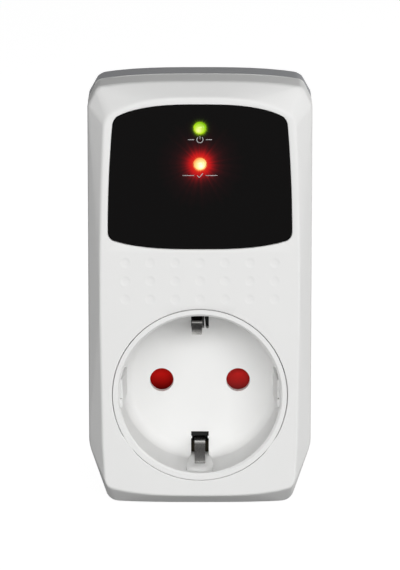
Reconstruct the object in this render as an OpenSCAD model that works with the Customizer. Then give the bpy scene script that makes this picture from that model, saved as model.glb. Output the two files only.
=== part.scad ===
// Plug-through appliance voltage protector, in millimetres, +Z up.
// The front faces -Y. The origin is the middle of the plug's engagement face, on the axis that the
// plug and the socket share. A value ending in _d is a depth behind the front face.

/* [Case] */
// Width across the side walls
case_w = 55; // [54:0.5:62]
// Depth of the case from its front face to its back wall, without the plug
case_d = 30; // [29.5:0.5:34]
// Height of the top of the case above the socket axis
crown_z = 77.6; // [76:0.4:84]
// Depth of the bottom of the case below the socket axis
sole_z = 28.6; // [28:0.2:32]
// Wall thickness of both covers
wall = 2.2; // [1.8:0.1:2.4]
// Thickness of the front wall round the window and the socket
face_wall = 2.6; // [2.4:0.1:3]
// Depth over which the front edges are bevelled
bevel_d = 5.5; // [4:0.5:7]
// Width of the bevel along the sides
bevel_w = 3.1; // [2:0.1:3.6]
// Height of the bevel over the window
bevel_crown = 3.5; // [2:0.1:4]
// Height of the bevel under the socket
bevel_sole = 3.2; // [2:0.1:3.6]
// Depth at which the front cover meets the rear cover
seam_d = 17; // [16:0.5:19]
// Height above the axis where the sides start to taper in towards the top
shoulder_z = 68.6; // [66:0.2:70]
// Depth below the axis where the sides start to taper in towards the bottom
hip_z = 12.4; // [10:0.2:14]
// How far the tapers draw the top corners in
shoulder_in = 2.6; // [1.5:0.1:3.5]
// How far the tapers draw the bottom corners in
hip_in = 4.6; // [3.5:0.1:5.5]
// Radius of the four outer corners
corner_r = 2.6; // [1.5:0.1:3.5]
// Narrowing of the front face from its widest place to the top
barrel = 1.2; // [0.4:0.1:1.6]
// Chamfer round the back of the rear cover
back_chamfer = 2.4; // [1.5:0.1:3]

/* [Window] */
// Margin of the front face above the window
window_rim = 1.7; // [1.2:0.1:2.4]
// Height of the window at its middle
window_h = 36.1; // [34:0.2:37]
// Margin of the front face beside the window's lower corners
window_side = 1.8; // [1.5:0.1:2.4]
// Thickness of the window
window_t = 1.4; // [1:0.1:1.6]
// How far the window lies below the front face
window_sink = 0.1; // [0:0.05:0.3]
// Thickness of the adhesive frame behind the window
tape_t = 0.1; // [0.05:0.05:0.2]
// Width of the ledge that carries the window
ledge_w = 2; // [1.5:0.1:3]
// Height of the power light above the socket axis
power_z = 66.2; // [64:0.2:67]
// Height of the status light above the socket axis
status_z = 57.4; // [56:0.2:60]

/* [Dimples] */
// Number of dimples in a row
dimple_columns = 7; // [1:2:7]
// Number of rows of dimples
dimple_rows = 3; // [1:1:3]
// Spacing of the columns
dimple_pitch_x = 6.07; // [4:0.01:6.2]
// Spacing of the rows
dimple_pitch_z = 4.55; // [3:0.05:4.7]
// Height of the lowest row above the socket axis
dimple_z = 24; // [23.4:0.1:24.4]
// Diameter of a dimple at the face
dimple_w = 2.4; // [1.5:0.1:3]
// Depth of a dimple
dimple_deep = 0.35; // [0.2:0.05:0.5]

/* [Socket] */
// Radius of the well
well_r = 19.75; // [19.5:0.05:20]
// Depth of the case behind the front of the well's floor
well_behind = 12.5; // [12.3:0.1:12.8]
// Share of the room beside the well that the insert's lip takes up
lip_share = 0.2883; // [0.27:0.0001:0.31]
// Radial gap between the insert and the front cover
ring_gap = 0.15; // [0.1:0.05:0.3]
// Thickness of the well's floor
floor_t = 2.2; // [2:0.1:2.6]
// Radius between the well's wall and its floor
well_fillet = 3; // [2:0.25:4]
// Spacing of the two pins
pin_pitch = 19; // [18.8:0.1:19.2]
// Radius of a pin hole in the well's floor
pin_hole_r = 2.95; // [2.8:0.05:3.1]
// Width of each side guide
guide_w = 7; // [5:0.5:7.5]
// How far each side guide stands out of the well's wall
guide_rise = 1.6; // [1:0.1:1.8]

/* [Earth clips] */
// Width of an earth clip
clip_w = 2.6; // [2.2:0.1:3]
// Thickness of an earth clip
clip_t = 0.6; // [0.5:0.05:0.8]
// Distance of a clip's crest from the socket axis
clip_crest_z = 13.6; // [13.2:0.1:14.2]
// Depth of a clip's crest
clip_crest_d = 7.6; // [6.5:0.1:9]
// Width of the slot that a clip comes out of
slot_w = 4.4; // [4:0.1:5]
// Distance of a slot's inner edge from the socket axis
slot_z = 13.2; // [13:0.05:13.4]
// Width of the flared groove in the wall at its front end
flare_w = 7.1; // [6:0.1:8]
// Sideways offset of the upper clip
clip_shift = 0.55; // [0:0.05:0.6]

/* [Safety shutter] */
// Radius of a shutter pad
pad_r = 4.2; // [4:0.05:4.3]
// Slope of each pad, in degrees
pad_slope = 10; // [6:1:11]
// Thickness of the shutter's bar
bar_t = 1.4; // [1.2:0.1:1.6]
// Radius of the shutter's steel pivot
pivot_r = 1.25; // [1:0.05:1.5]
// Running clearance of the shutter on its pivot
pivot_gap = 0.05; // [0.03:0.01:0.09]

/* [Plug] */
// Length of the plug's body behind the case
plug_reach = 17; // [16.5:0.25:18]
// Radius of the plug's body
plug_r = 18.7; // [18.4:0.05:19]
// Radius of a plug pin
pin_r = 2.4; // [2.35:0.01:2.45]
// Length of a plug pin beyond the engagement face
pin_len = 19; // [18.5:0.1:19.5]
// Rounding of a plug pin's tip
pin_tip = 1.6; // [1:0.1:2]
// Thickness of the end wall that holds the pins
end_wall = 2.4; // [2:0.1:3]
// Depth of the two side grooves
groove_deep = 2.4; // [2:0.1:2.8]
// Width of the two side grooves
groove_w = 8.4; // [8:0.2:9]
// Width of a plug earth contact
earth_w = 4; // [3.5:0.1:4.4]
// Thickness of a plug earth contact
earth_t = 1.1; // [0.8:0.1:1.2]

/* [Board] */
// Free space between the circuit board's edges and the side walls
board_side = 2.9; // [2.5:0.1:3.3]
// Height of the circuit board's lower edge above the socket insert
board_over = 2.75; // [2.3:0.05:3.2]
// Thickness of the circuit board
board_t = 1.6; // [1.2:0.2:2]
// Depth of the board's front surface
board_d = 8.4; // [8.2:0.1:9]
// Share of the board's width that the relay takes up
relay_w_share = 0.6429; // [0.62:0.0001:0.65]
// Height of the relay along the case
relay_h = 12.6; // [12:0.1:13]
// Share of the depth behind the board that the relay takes up
relay_t_share = 0.8914; // [0.86:0.0001:0.94]
// Width of the board that the row of capacitors leaves free
film_room = 10.5; // [10:0.5:15.5]
// Height of the film capacitor along the case
film_h = 8.5; // [6:0.5:9]
// Share of the depth behind the board that the film capacitor takes up
film_t_share = 0.8286; // [0.6:0.0001:0.92]
// Radius of the larger electrolytic capacitor
bulk_r = 5; // [4:0.5:5]
// Share of the depth behind the board that the larger electrolytic capacitor takes up
bulk_h_share = 0.9143; // [0.7:0.0001:0.94]
// Radius of the smaller electrolytic capacitor
small_r = 3.15; // [2.5:0.05:3.15]
// Share of the depth behind the board that the smaller electrolytic capacitor takes up
small_h_share = 0.6286; // [0.5:0.0001:0.7]
// Radius of the surge varistor
varistor_r = 5.6; // [4:0.1:5.8]
// Share of the board's width that the surge varistor takes up
varistor_t_share = 0.0893; // [0.07:0.0001:0.094]
// Width of the rectifier
rectifier_w = 8.6; // [7:0.2:9]
// Height of the rectifier along the case
rectifier_h = 6.4; // [5:0.2:6.6]
// Depth of the rectifier off the board
rectifier_t = 3.4; // [2.6:0.2:5]
// Share of the board's width that the controller chip takes up
chip_w_share = 0.4308; // [0.36:0.0001:0.435]
// Height of the controller chip along the case
chip_h = 6.4; // [5.2:0.2:6.6]
// Depth of the controller chip off the board
chip_t = 3.6; // [2.6:0.2:5]
// Free space kept between neighbouring parts on the board
part_gap = 1; // [0.6:0.1:1.2]

/* [Relay] */
// Swing of the armature, in degrees
armature_swing = 5.5; // [3:0.5:5.5]
// Wall thickness of the relay's cover
relay_wall = 0.8; // [0.6:0.1:0.9]

/* [Fasteners] */
// Shank radius of the four case screws
screw_r = 1.25; // [1.1:0.05:1.4]
// Head radius of the four case screws
screw_head_r = 2.4; // [2.1:0.1:2.5]
// Shank radius of the small screws
small_screw_r = 0.9; // [0.7:0.05:1]

/* [Hidden] */
$fn = 64;
cut = 1;
skin = 0.01;
air = 0.1;
seat_gap = 0.2;
front_y = -(case_d + plug_reach);
well_d = case_d - well_behind;

// The outlines' crowns: the ends of each edge drop by a cubic law, measured at crown_at
crown_at = 20;
crown_steps = 6;
corner_steps = 6;
crown_drop = 0.7;
sole_drop = 0.55;
face_crown_drop = 3.1;
face_sole_drop = 1.45;
window_crown_drop = 2.75;
window_sole_drop = 1.75;
sole_half = case_w / 2 - hip_in;
crown_half = case_w / 2 - shoulder_in;
hip_r = 6;

// The front face
face_half = case_w / 2 - bevel_w;
face_top = crown_z - bevel_crown;
face_low = -(sole_z - bevel_sole);
face_wide_z = 22;
face_low_barrel = 0.5;
face_top_corner_in = 4.6;
face_top_corner_z = face_top - face_top_corner_in;
face_top_r = 4.4;
face_low_r = 2.4;
face_hip_in = 1.1;
barrel_steps = 5;

// The window's outline
window_top_z = face_top - window_rim;
window_low_z = window_top_z - window_h;
window_half = face_half - window_side;
window_barrel = 1.35;
window_top_r = 3;
window_low_r = 2.2;
window_gap = 0.1;
window_pocket_d = window_sink + window_t + tape_t;
light_hole_r = 1.6;

// A dimple is a shallow cap of a ball
dimple_ball_r = (dimple_w * dimple_w / 4 + dimple_deep * dimple_deep) / (2 * dimple_deep);

// The case screws' bosses and columns
boss_r = 2.9;
boss_top_side = 0.6;
boss_top_in = 8.1;
boss_low_side = 0.5;
boss_low_in = 7.6;
boss_gap = 0.4;
boss_top_x = case_w / 2 - wall - boss_r - boss_top_side;
boss_top_z = crown_z - boss_top_in;
boss_low_x = sole_half - boss_r - boss_low_side;
boss_low_z = -(sole_z - boss_low_in);
boss_tip_d = seam_d - boss_gap;
column_r = 3.3;
screw_head_t = 1.6;
screw_len = 12;
screw_grip = 3;
screw_seat_d = seam_d + screw_grip;
head_gap = 0.2;
lip_h = 1.5;
lip_gap = 0.1;
lip_in = wall / 2;
case_screws = [
    [-boss_top_x, boss_top_z], [boss_top_x, boss_top_z],
    [-boss_low_x, boss_low_z], [boss_low_x, boss_low_z]
];

// The insert
side_room = case_w / 2 - wall - well_r;
lip_w = side_room * lip_share;
ring_r = well_r + lip_w;
flange_share = 0.2703;
rim_share = 0.3125;
ring_sink = 0.1;
rim_round = lip_w * rim_share;
floor_back_d = well_d + floor_t;
flange_d = face_wall + air;
flange_t = 2;
flange_w = side_room * flange_share;
flange_r = ring_r + flange_w;
ear_side = 7.3;
ear_gap = 0.13;
ear_screw_head_r = 2.4;
ear_reach = ring_r + ear_screw_head_r + ear_gap;
ear_x = case_w / 2 - wall - ear_side;
ear_z = sqrt(ear_reach * ear_reach - ear_x * ear_x);
ear_r = 2.8;
ear_post_r = 1.9;
ear_screw_head_t = 1.2;
ear_hole_d = face_wall / 2;
ear_screw_len = flange_d + flange_t - ear_hole_d;
guide_start_d = 2.2;
guide_root = lip_w / 2;
guide_notch_w = 3;
guide_notch_d = 2;
slot_pad_w = 10;
slot_deep = 2.2;
slot_pad_wall = 1.3;
groove_z = well_r + slot_deep;
slot_pad_z = groove_z + slot_pad_wall;
flare_d = 2.4;
rib_w = 0.5;
rib_gap = 0.3;
rib_x = clip_w / 2 - clip_shift + rib_gap;
pad_room = 0.9;
fence_t = 1.5;
fence_in = pin_pitch / 2 + pad_r + pad_room;
fence_out = fence_in + fence_t;
fence_gap_w = 11;
post_z = 10.6;
clip_seat_z = 15.9;
post_r = 2.1;
ring_post_r = 1.8;
floor_edge = 0.05;
floor_r = fence_out + floor_edge;

// The shutter
shutter_gap = 0.3;
shutter_rise = 1.5;
shutter_rise_d = floor_back_d + shutter_gap;
shutter_flat_d = shutter_rise_d + shutter_rise;
shutter_back_d = shutter_flat_d + bar_t;
hub_r = 4.4;
hub_bore_r = pivot_r + pivot_gap;
hub_seat_t = 0.6;
hub_seat_d = floor_back_d + hub_seat_t;
hub_seat_r = 2.6;
hub_front_d = hub_seat_d + seat_gap;
bar_half = 2.4;
spring_pocket_r = 3.5;
spring_pocket_in = 1.9;
spring_pocket_t = 1.1;
spring_wire = 0.5;
pivot_root = 1.3;
plate_d = shutter_back_d + shutter_gap;
plate_t = 1.5;
plate_margin = 0.3;
plate_r = fence_out + plate_margin;
plate_half_z = clip_seat_z - seat_gap;
plate_hole_r = 3.2;
plate_back_d = plate_d + plate_t;
plate_screw_head_r = 1.7;
plate_screw_head_t = 0.9;
plate_screw_len = 3;

// The earth path
bracket_lift = 1.5;
bracket_w = 2.8;
bracket_d = floor_back_d + bracket_lift;
bracket_t = 1;
clip_seat_d = bracket_d + bracket_t / 2;
clip_roll_r = 0.6;
clip_bend_r = 1.2;
clip_floor_z = 15.4;
clip_tip_z = 17.8;
clip_tip_d = 3.2;
bracket_in = clip_seat_z + clip_roll_r + air;
bracket_out = bracket_in + bracket_w;
rivet_r = 0.8;
rivet_head_r = 1.5;
rivet_head_t = 0.6;
rivet_deep = 1.2;
strip_in = bracket_in + air;
strip_out = strip_in + earth_t;
strip_end = 0.4;
recess_room = 0.6;
recess_in = strip_in - seat_gap;
recess_w = earth_w + 2 * recess_room;
passage_w = earth_w + 2 * seat_gap;

// The contacts and their carrier
cavity_wall = 1.3;
cavity_r = recess_in - cavity_wall;
leaf_gap = 0.05;
leaf_t = 0.6;
leaf_w = 5;
leaf_in = pin_r + leaf_gap;
leaf_out = leaf_in + leaf_t;
web_t = 0.8;
flare_len = 1.4;
flare_out = 0.5;
contact_tip_in = 1.1;
pin_room = 0.5;
contact_tip_d = plate_back_d + contact_tip_in;
contact_root_d = well_d + pin_len + pin_room;
contact_back_d = contact_root_d + web_t;
cell_gap = 0.25;
cell_wall = 0.8;
cell_in_x = leaf_out + flare_out / 4 + cell_gap;
cell_gap_z = 0.3;
carrier_gap = 0.3;
cell_in_z = leaf_w / 2 + cell_gap_z;
carrier_front_d = plate_back_d + carrier_gap;
disc_d = contact_back_d + seat_gap;
disc_t = 1.6;
disc_back_d = disc_d + disc_t;
disc_r = cavity_r - seat_gap;
end_wall_d = case_d + plug_reach - end_wall;
pin_flange_r = 3.3;
pin_flange_t = 1.8;
pin_flange_d = end_wall_d - pin_flange_t - seat_gap;
pin_tail_r = 1.5;
pin_tail_t = 2.2;
pin_fit = 0.02;
pin_root_out = 0.3;
pin_root_r = pin_r + pin_root_out;
foot_t = 0.8;
foot_d = pin_flange_d - foot_t;
foot_low = 3.3;
foot_fit = 0.05;
strap_w = 4;
bar_gap = 1;
bar_z = cell_in_z + cell_wall + bar_gap;
bar_thick = 0.8;
bar_front_in = 2.9;
bar_front_d = plate_back_d + bar_front_in;
leg_w = 3;
leg_z = 2.5;
leg_t = 0.8;
slot_fit = 0.2;
carrier_post_x = 3.2;
carrier_post_z = 11;
carrier_post_r = 1.8;

// The board and what stands on it
board_w = case_w - 2 * (wall + board_side);
board_low_z = slot_pad_z + board_over;
board_margin = 2.2;
board_top_z = crown_z - wall - board_margin;
board_back_d = board_d + board_t;
part_lift = 0.3;
part_d = board_back_d + part_lift;
part_room = case_d - wall - part_d;
relay_w = board_w * relay_w_share;
relay_t = part_room * relay_t_share;
film_w = board_w - 2 * (bulk_r + small_r) - film_room;
film_t = part_room * film_t_share;
bulk_h = part_room * bulk_h_share;
small_h = part_room * small_h_share;
varistor_t = board_w * varistor_t_share;
chip_w = board_w * chip_w_share;
board_post_in = 2.6;
board_post_up = 8;
board_post_x = board_w / 2 - board_post_in;
board_post_z = board_low_z + board_post_up;
board_post_r = 2.5;
board_screw_head_r = 2;
board_screw_head_t = 1.2;
board_screw_len = 5;
shoulder_r = 3.9;
notch_gap = 0.2;
light_r = 1.5;
light_rise = 0.4;
light_len = 4.4;
light_flange_r = 1.9;
light_flange_t = 1;
light_flange_d = light_len - light_rise;
light_leg_r = 0.25;
light_leg_x = 1.27;
holder_half_x = 4;
holder_margin_z = 4;
holder_gap = 0.3;
holder_d = window_pocket_d + holder_gap;
relay_side = 0.5;
relay_in = 3;
relay_x0 = -(boss_top_x - boss_r - relay_side);
relay_z1 = board_top_z - relay_in;
relay_z0 = relay_z1 - relay_h;
relay_x1 = relay_x0 + relay_w;
varistor_x0 = relay_x1 + part_gap;
varistor_up = 0.4;
varistor_z = relay_z0 + varistor_r + varistor_up;
fuse_r = 1.7;
fuse_len = 10.5;
fuse_side = 0.5;
fuse_under = 3.5;
fuse_x = board_w / 2 - fuse_r - fuse_side;
fuse_z1 = boss_top_z - boss_r - fuse_under;
film_x0 = -board_w / 2 + part_gap;
film_z1 = relay_z0 - 2 * part_gap;
film_z0 = film_z1 - film_h;
film_x1 = film_x0 + film_w;
bulk_x = film_x1 + part_gap + bulk_r;
bulk_z = film_z1 - bulk_r;
small_x = bulk_x + bulk_r + part_gap + small_r;
small_z = film_z1 - small_r;
rectifier_in = 6.5;
rectifier_x0 = -board_w / 2 + rectifier_in;
lower_z1 = film_z0 - 2 * part_gap;
rectifier_x1 = rectifier_x0 + rectifier_w;
chip_x0 = rectifier_x1 + part_gap * 2;
transistor_size = [4.6, 3.6, 4.8];
regulator_x0 = part_gap;
transistor_gap = 2.4;
transistor_axis_share = 0.4;
transistor_x0 = regulator_x0 + transistor_size[0] + transistor_gap;
resistor_r = 1.9;
resistor_len = 9;
resistor_up = 2.6;
resistor_z = board_low_z + resistor_up;
transistor_z0 = (resistor_z + resistor_r + lower_z1 - chip_h - transistor_size[1]) / 2;
resistor_x0 = -5;
lead_r = 0.3;
chip_resistor = [3.2, 1.6, 0.6];
chip_resistor_count = 5;
chip_resistor_pitch = 7.5;
chip_resistor_z = 44;
tab_w = 4;
tab_t = 0.8;
tab_share = 0.4;
tab_h = part_room * tab_share;
tab_up = 3.1;
tab_shift = 1.5;
tab_in = 4.4;
tab_z = board_low_z + tab_up;
live_in_x = -pin_pitch / 2 + tab_shift;
live_out_x = -board_w / 2 + tab_in;
neutral_x = pin_pitch / 2;

// The wires' routes, chosen by hand: x, height and depth of each point
wire_r = 1.2;
bend_swell = 0.15;
wire_lift = 1.4;
wire_d = bar_front_d - wire_lift;
wire_turn_in = 6.8;
wire_turn_d = case_d - wall - wire_turn_in;
wire_side_gap = 1.8;
wire_low_x = -(pin_pitch / 2 + cell_in_x + cell_wall + wire_side_gap);
wire_high_share = 0.7668;
wire_high_x = -(case_w / 2 - wall) * wire_high_share;
live_in_route = [
    [-pin_pitch / 2, bar_z + bar_thick / 2, bar_front_d],
    [-pin_pitch / 2, bar_z + bar_thick / 2, wire_d],
    [-10, 21, wire_d],
    [live_in_x, tab_z, wire_turn_d],
    [live_in_x, tab_z, part_d + tab_h]
];
live_out_route = [
    [-pin_pitch / 2, -bar_z - bar_thick / 2, bar_front_d],
    [-pin_pitch / 2, -bar_z - bar_thick / 2, wire_d],
    [wire_low_x, -7, wire_d],
    [wire_high_x, 12, wire_d],
    [live_out_x, 22, wire_d],
    [live_out_x, tab_z, wire_turn_d],
    [live_out_x, tab_z, part_d + tab_h]
];
neutral_route = [
    [pin_pitch / 2, bar_z + bar_thick / 2, bar_front_d],
    [pin_pitch / 2, bar_z + bar_thick / 2, wire_d],
    [10, 21, wire_d],
    [neutral_x, tab_z, wire_turn_d],
    [neutral_x, tab_z, part_d + tab_h]
];

// The relay's inside, measured off the board along its depth
relay_gap = 0.1;
relay_base_t = 1.6;
relay_cover_lift = 0.3;
relay_rise = relay_t - relay_wall - relay_base_t;
coil_h_share = 0.5455;
coil_h = relay_base_t + relay_rise * coil_h_share;
bobbin_share = 0.3182;
bobbin_side = 1.3;
bobbin_half = min(relay_rise * bobbin_share, relay_h / 2 - relay_wall - bobbin_side);
coil_share = 0.9524;
drum_share = 0.619;
core_share = 0.4524;
pole_share = 0.8095;
coil_r = bobbin_half * coil_share;
drum_r = bobbin_half * drum_share;
core_r = bobbin_half * core_share;
bobbin_t = 0.8;
coil_in = 2.6;
coil_x0 = relay_x0 + relay_wall + coil_in;
coil_len = 13;
pole_r = bobbin_half * pole_share;
pole_t = 0.8;
pole_x = coil_x0 + coil_len + 2 * bobbin_t;
yoke_t = 1;
yoke_x0 = coil_x0 - yoke_t;
yoke_h0 = coil_h + bobbin_half + air;
yoke_half = 3.6;
yoke_low_gap = 1;
yoke_end_gap = 0.3;
hinge_h = yoke_h0 + yoke_t / 2;
pole_air = 0.06;
armature_gap = (hinge_h - coil_h + pole_r) * tan(armature_swing) + pole_air;
armature_t = 1;
armature_x0 = pole_x + pole_t + armature_gap;
armature_share = 0.2348;
armature_h0 = relay_base_t + relay_rise * armature_share;
armature_h1 = yoke_h0 + yoke_t - air;
armature_half = 3.4;
leaf_spring_t = 0.25;
leaf_spring_half = 1.6;
leaf_spring_share = 0.0606;
leaf_spring_h0 = relay_base_t + relay_rise * leaf_spring_share;
button_r_share = 0.2619;
button_r = bobbin_half * button_r_share;
button_t = 0.8;
button_h_share = 0.1364;
button_h = relay_base_t + relay_rise * button_h_share;
button_gap = (hinge_h - button_h) * tan(armature_swing) + seat_gap;
fixed_t = 0.6;
fixed_share = 0.2197;
fixed_rise = relay_base_t + relay_rise * fixed_share;
relay_pin_r = 0.5;
relay_mid_z = relay_z0 + relay_h / 2;

// A flat outline drawn in X and Z, t thick, starting at depth d
module sheet(d, t) {
    translate([0, front_y + d + t, 0]) rotate([90, 0, 0]) linear_extrude(t) children();
}

// A round bar along the depth, from depth d0 to d1
module rod(x, z, d0, d1, r) {
    translate([x, front_y + d0, z]) rotate([-90, 0, 0]) cylinder(h = d1 - d0, r = r);
}

// A box given by its limits across, up and in depth
module block(x0, x1, z0, z1, d0, d1) {
    translate([x0, front_y + d0, z0]) cube([x1 - x0, d1 - d0, z1 - z0]);
}

// A profile of radius and depth turned about the axis of the socket
module turned() {
    translate([0, front_y, 0]) rotate([-90, 0, 0]) rotate_extrude() children();
}

// Copies at the places of a list of [x, z]
module at_each(places) {
    for (p = places) translate([p[0], 0, p[1]]) children();
}

// A copy on each side of the middle plane
module both_sides() {
    children();
    mirror([1, 0, 0]) children();
}

// A copy above and below the axis
module above_and_below() {
    children();
    mirror([0, 0, 1]) children();
}

function unit(v) = v / norm(v);

// The rounded corner b between its neighbours a and c
function corner(a, b, c, r) =
    r == 0 ? [b] :
    let (u = unit(a - b), v = unit(c - b), half = acos(u * v) / 2,
         middle = b + unit(u + v) * r / sin(half),
         from = unit(b + u * r / tan(half) - middle),
         to = unit(b + v * r / tan(half) - middle))
    [for (i = [0:corner_steps]) let (s = i / corner_steps) middle + r * unit(from * (1 - s) + to * s)];

// A closed path of [x, z, radius] with its corners rounded
function rounded(path) =
    let (n = len(path), p = [for (q = path) [q[0], q[1]]])
    [for (i = [0:n - 1]) each corner(p[(i + n - 1) % n], p[i], p[(i + 1) % n], path[i][2])];

// The right half of a path, from bottom to top, and its mirror image
function mirrored(half) =
    concat(half, [for (i = [len(half) - 1:-1:0]) [-half[i][0], half[i][1], half[i][2]]]);

function crown(x, drop) = drop * pow(abs(x) / crown_at, 3);

// Half of a crowned edge, from the middle out, without its ends
function edge(half, z, drop, up) =
    [for (i = [1:crown_steps - 1]) let (x = half * i / crown_steps) [x, z - up * crown(x, drop), 0]];
function reversed(list) = [for (i = [len(list) - 1:-1:0]) list[i]];

// The case's outline, drawn in by the given amount
function case_path(in) =
    let (foot = sole_half - in, head = crown_half - in, side = case_w / 2 - in)
    mirrored(concat(
        edge(foot, -sole_z + in, sole_drop, -1),
        [[foot, -sole_z + in + crown(foot, sole_drop), max(corner_r - in / 2, corner_r / 2)],
         [side, -hip_z, hip_r],
         [side, shoulder_z - in, hip_r],
         [head, crown_z - in - crown(head, crown_drop), max(corner_r - in / 2, corner_r / 2)]],
        reversed(edge(head, crown_z - in, crown_drop, 1))));

// The front face's outline, drawn in by the given amount
function face_path(in) =
    let (half = face_half - in, low = half - face_hip_in, hip = half - face_low_barrel,
         span = face_top_corner_z - face_wide_z)
    mirrored(concat(
        edge(low, face_low + in, face_sole_drop, -1),
        [[low, face_low + in + crown(low, face_sole_drop), face_low_r],
         [hip, -hip_z, hip_r]],
        [for (i = [0:barrel_steps - 1])
            let (s = i / barrel_steps) [half - barrel * s * s, face_wide_z + span * s, 0]],
        [[half - barrel, face_top_corner_z - in, face_top_r]],
        reversed(edge(half - barrel, face_top - in, face_crown_drop, 1))));

// The window's outline, drawn in by the given amount
function window_path(in) =
    let (half = window_half - in, head = half - window_barrel,
         low_z = window_low_z + in + crown(half, window_sole_drop),
         top_z = window_top_z - in - crown(head, window_crown_drop))
    mirrored(concat(
        edge(half, window_low_z + in, window_sole_drop, -1),
        [[half, low_z, window_low_r]],
        [for (i = [1:barrel_steps - 1])
            let (s = i / barrel_steps)
            [half - window_barrel * s * s, low_z + (top_z - low_z) * s, 0]],
        [[head, top_z, window_top_r]],
        reversed(edge(head, window_top_z - in, window_crown_drop, 1))));

// The bevelled solid of the front as far as depth end_d, its sides and its face drawn in
module front_form(in, face_in, start_d, turn_d, end_d) {
    hull() {
        sheet(start_d, skin) polygon(rounded(face_path(face_in)));
        sheet(turn_d - skin, skin) polygon(rounded(case_path(in)));
    }
    sheet(turn_d - skin, end_d - turn_d + skin) polygon(rounded(case_path(in)));
}

module front_cover() color("white") difference() {
    union() {
        difference() {
            front_form(0, 0, 0, bevel_d, seam_d);
            front_form(wall, wall / 2, face_wall, bevel_d + wall / 2, seam_d + cut);
            rod(0, 0, face_wall, flange_d + flange_t + air, flange_r + air);
        }
        intersection() {
            front_form(air, air, air, bevel_d, seam_d);
            union() {
                for (p = case_screws) rod(p[0], p[1], face_wall - air, boss_tip_d, boss_r);
                both_sides() rod(boss_top_x, boss_top_z, face_wall - air, board_d, shoulder_r);
                both_sides() rod(board_post_x, board_post_z, face_wall - air, board_d, board_post_r);
                both_sides() rod(ear_x, ear_z, face_wall - air, flange_d + flange_t + air, ear_post_r);
            }
        }
    }
    sheet(-cut, window_pocket_d + cut) polygon(rounded(window_path(-window_gap)));
    sheet(-cut, face_wall + 2 * cut) polygon(rounded(window_path(ledge_w)));
    rod(0, 0, -cut, seam_d + cut, ring_r + ring_gap);
    for (p = case_screws) rod(p[0], p[1], screw_seat_d - screw_len, seam_d, screw_r + pin_fit);
    both_sides() rod(board_post_x, board_post_z, face_wall, board_d + cut, small_screw_r + pin_fit);
    both_sides() rod(ear_x, ear_z, ear_hole_d, seam_d, small_screw_r + pin_fit);
    difference() {
        sheet(seam_d - lip_h - lip_gap, lip_h + lip_gap + cut)
            polygon(rounded(case_path(lip_in - lip_gap)));
        sheet(seam_d - lip_h - cut, lip_h + 3 * cut) polygon(rounded(case_path(wall + lip_gap)));
    }
    for (i = [0:dimple_columns - 1], j = [0:dimple_rows - 1])
        translate([
            (i - (dimple_columns - 1) / 2) * dimple_pitch_x,
            front_y + dimple_deep - dimple_ball_r,
            dimple_z + j * dimple_pitch_z
        ]) sphere(r = dimple_ball_r);
}

module rear_cover() color("darkgray") difference() {
    union() {
        difference() {
            hull() {
                sheet(seam_d, skin) polygon(rounded(case_path(0)));
                sheet(case_d - back_chamfer, skin) polygon(rounded(case_path(0)));
                sheet(case_d - skin, skin) polygon(rounded(case_path(back_chamfer)));
            }
            sheet(seam_d - cut, case_d - wall - seam_d + cut) polygon(rounded(case_path(wall)));
        }
        difference() {
            sheet(seam_d - lip_h, lip_h + air) polygon(rounded(case_path(lip_in)));
            sheet(seam_d - lip_h - cut, lip_h + 2 * cut) polygon(rounded(case_path(wall)));
        }
        for (p = case_screws) rod(p[0], p[1], seam_d, case_d - wall + air, column_r);
    }
    rod(0, 0, case_d - wall - cut, case_d + cut, cavity_r);
    for (p = case_screws) {
        rod(p[0], p[1], seam_d - cut, case_d, screw_r + head_gap);
        rod(p[0], p[1], screw_seat_d, case_d + cut, screw_head_r + head_gap);
    }
    above_and_below() block(-passage_w / 2, passage_w / 2, recess_in, strip_out + seat_gap,
                            case_d - wall - cut, case_d + cut);
}

// The plug's body is moulded in one with the rear cover, and is a node of its own behind it
module plug_body() color("darkgray") difference() {
    rod(0, 0, case_d, case_d + plug_reach, plug_r);
    rod(0, 0, case_d - cut, end_wall_d, cavity_r);
    both_sides() {
        rod(pin_pitch / 2, 0, end_wall_d - cut, case_d + plug_reach + cut, pin_root_r + pin_fit);
        block(plug_r - groove_deep, plug_r + cut, -groove_w / 2, groove_w / 2,
              case_d - cut, case_d + plug_reach + cut);
    }
    above_and_below() block(-recess_w / 2, recess_w / 2, recess_in, plug_r + cut,
                            case_d - cut, case_d + plug_reach + cut);
}

module display_window() color("black") difference() {
    sheet(window_sink, window_t) polygon(rounded(window_path(0)));
    for (z = [power_z, status_z]) rod(0, z, -cut, window_pocket_d + cut, light_hole_r);
}

module window_tape() color("dimgray") difference() {
    sheet(window_sink + window_t, tape_t) polygon(rounded(window_path(0)));
    sheet(window_sink + window_t - cut, tape_t + 2 * cut) polygon(rounded(window_path(ledge_w)));
}

// A screw driven from the back: its head's seat is at depth d
module screw(d, shank_r, shank_len, head_r, head_t) {
    rod(0, 0, d - shank_len, d + air, shank_r);
    difference() {
        rod(0, 0, d, d + head_t, head_r);
        for (turn = [0, 90])
            translate([0, front_y + d + head_t, 0]) rotate([0, turn, 0])
                cube([head_r, head_t, head_r / 4], center = true);
    }
}

module case_screws() color("silver")
    at_each(case_screws) screw(screw_seat_d, screw_r, screw_len, screw_head_r, screw_head_t);

// The insert's turned body: lip, flange, wall, fillet and floor
module insert_body() turned() polygon(concat(
    [[0, floor_back_d], [0, well_d]],
    [for (i = [0:corner_steps])
        let (a = 90 * i / corner_steps)
        [well_r - well_fillet + well_fillet * sin(a), well_d - well_fillet + well_fillet * cos(a)]],
    [[well_r, ring_sink + rim_round], [well_r + rim_round, ring_sink], [ring_r, ring_sink],
     [ring_r, flange_d], [flange_r, flange_d], [flange_r, flange_d + flange_t],
     [ring_r, flange_d + flange_t], [ring_r, floor_back_d]]
));

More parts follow.
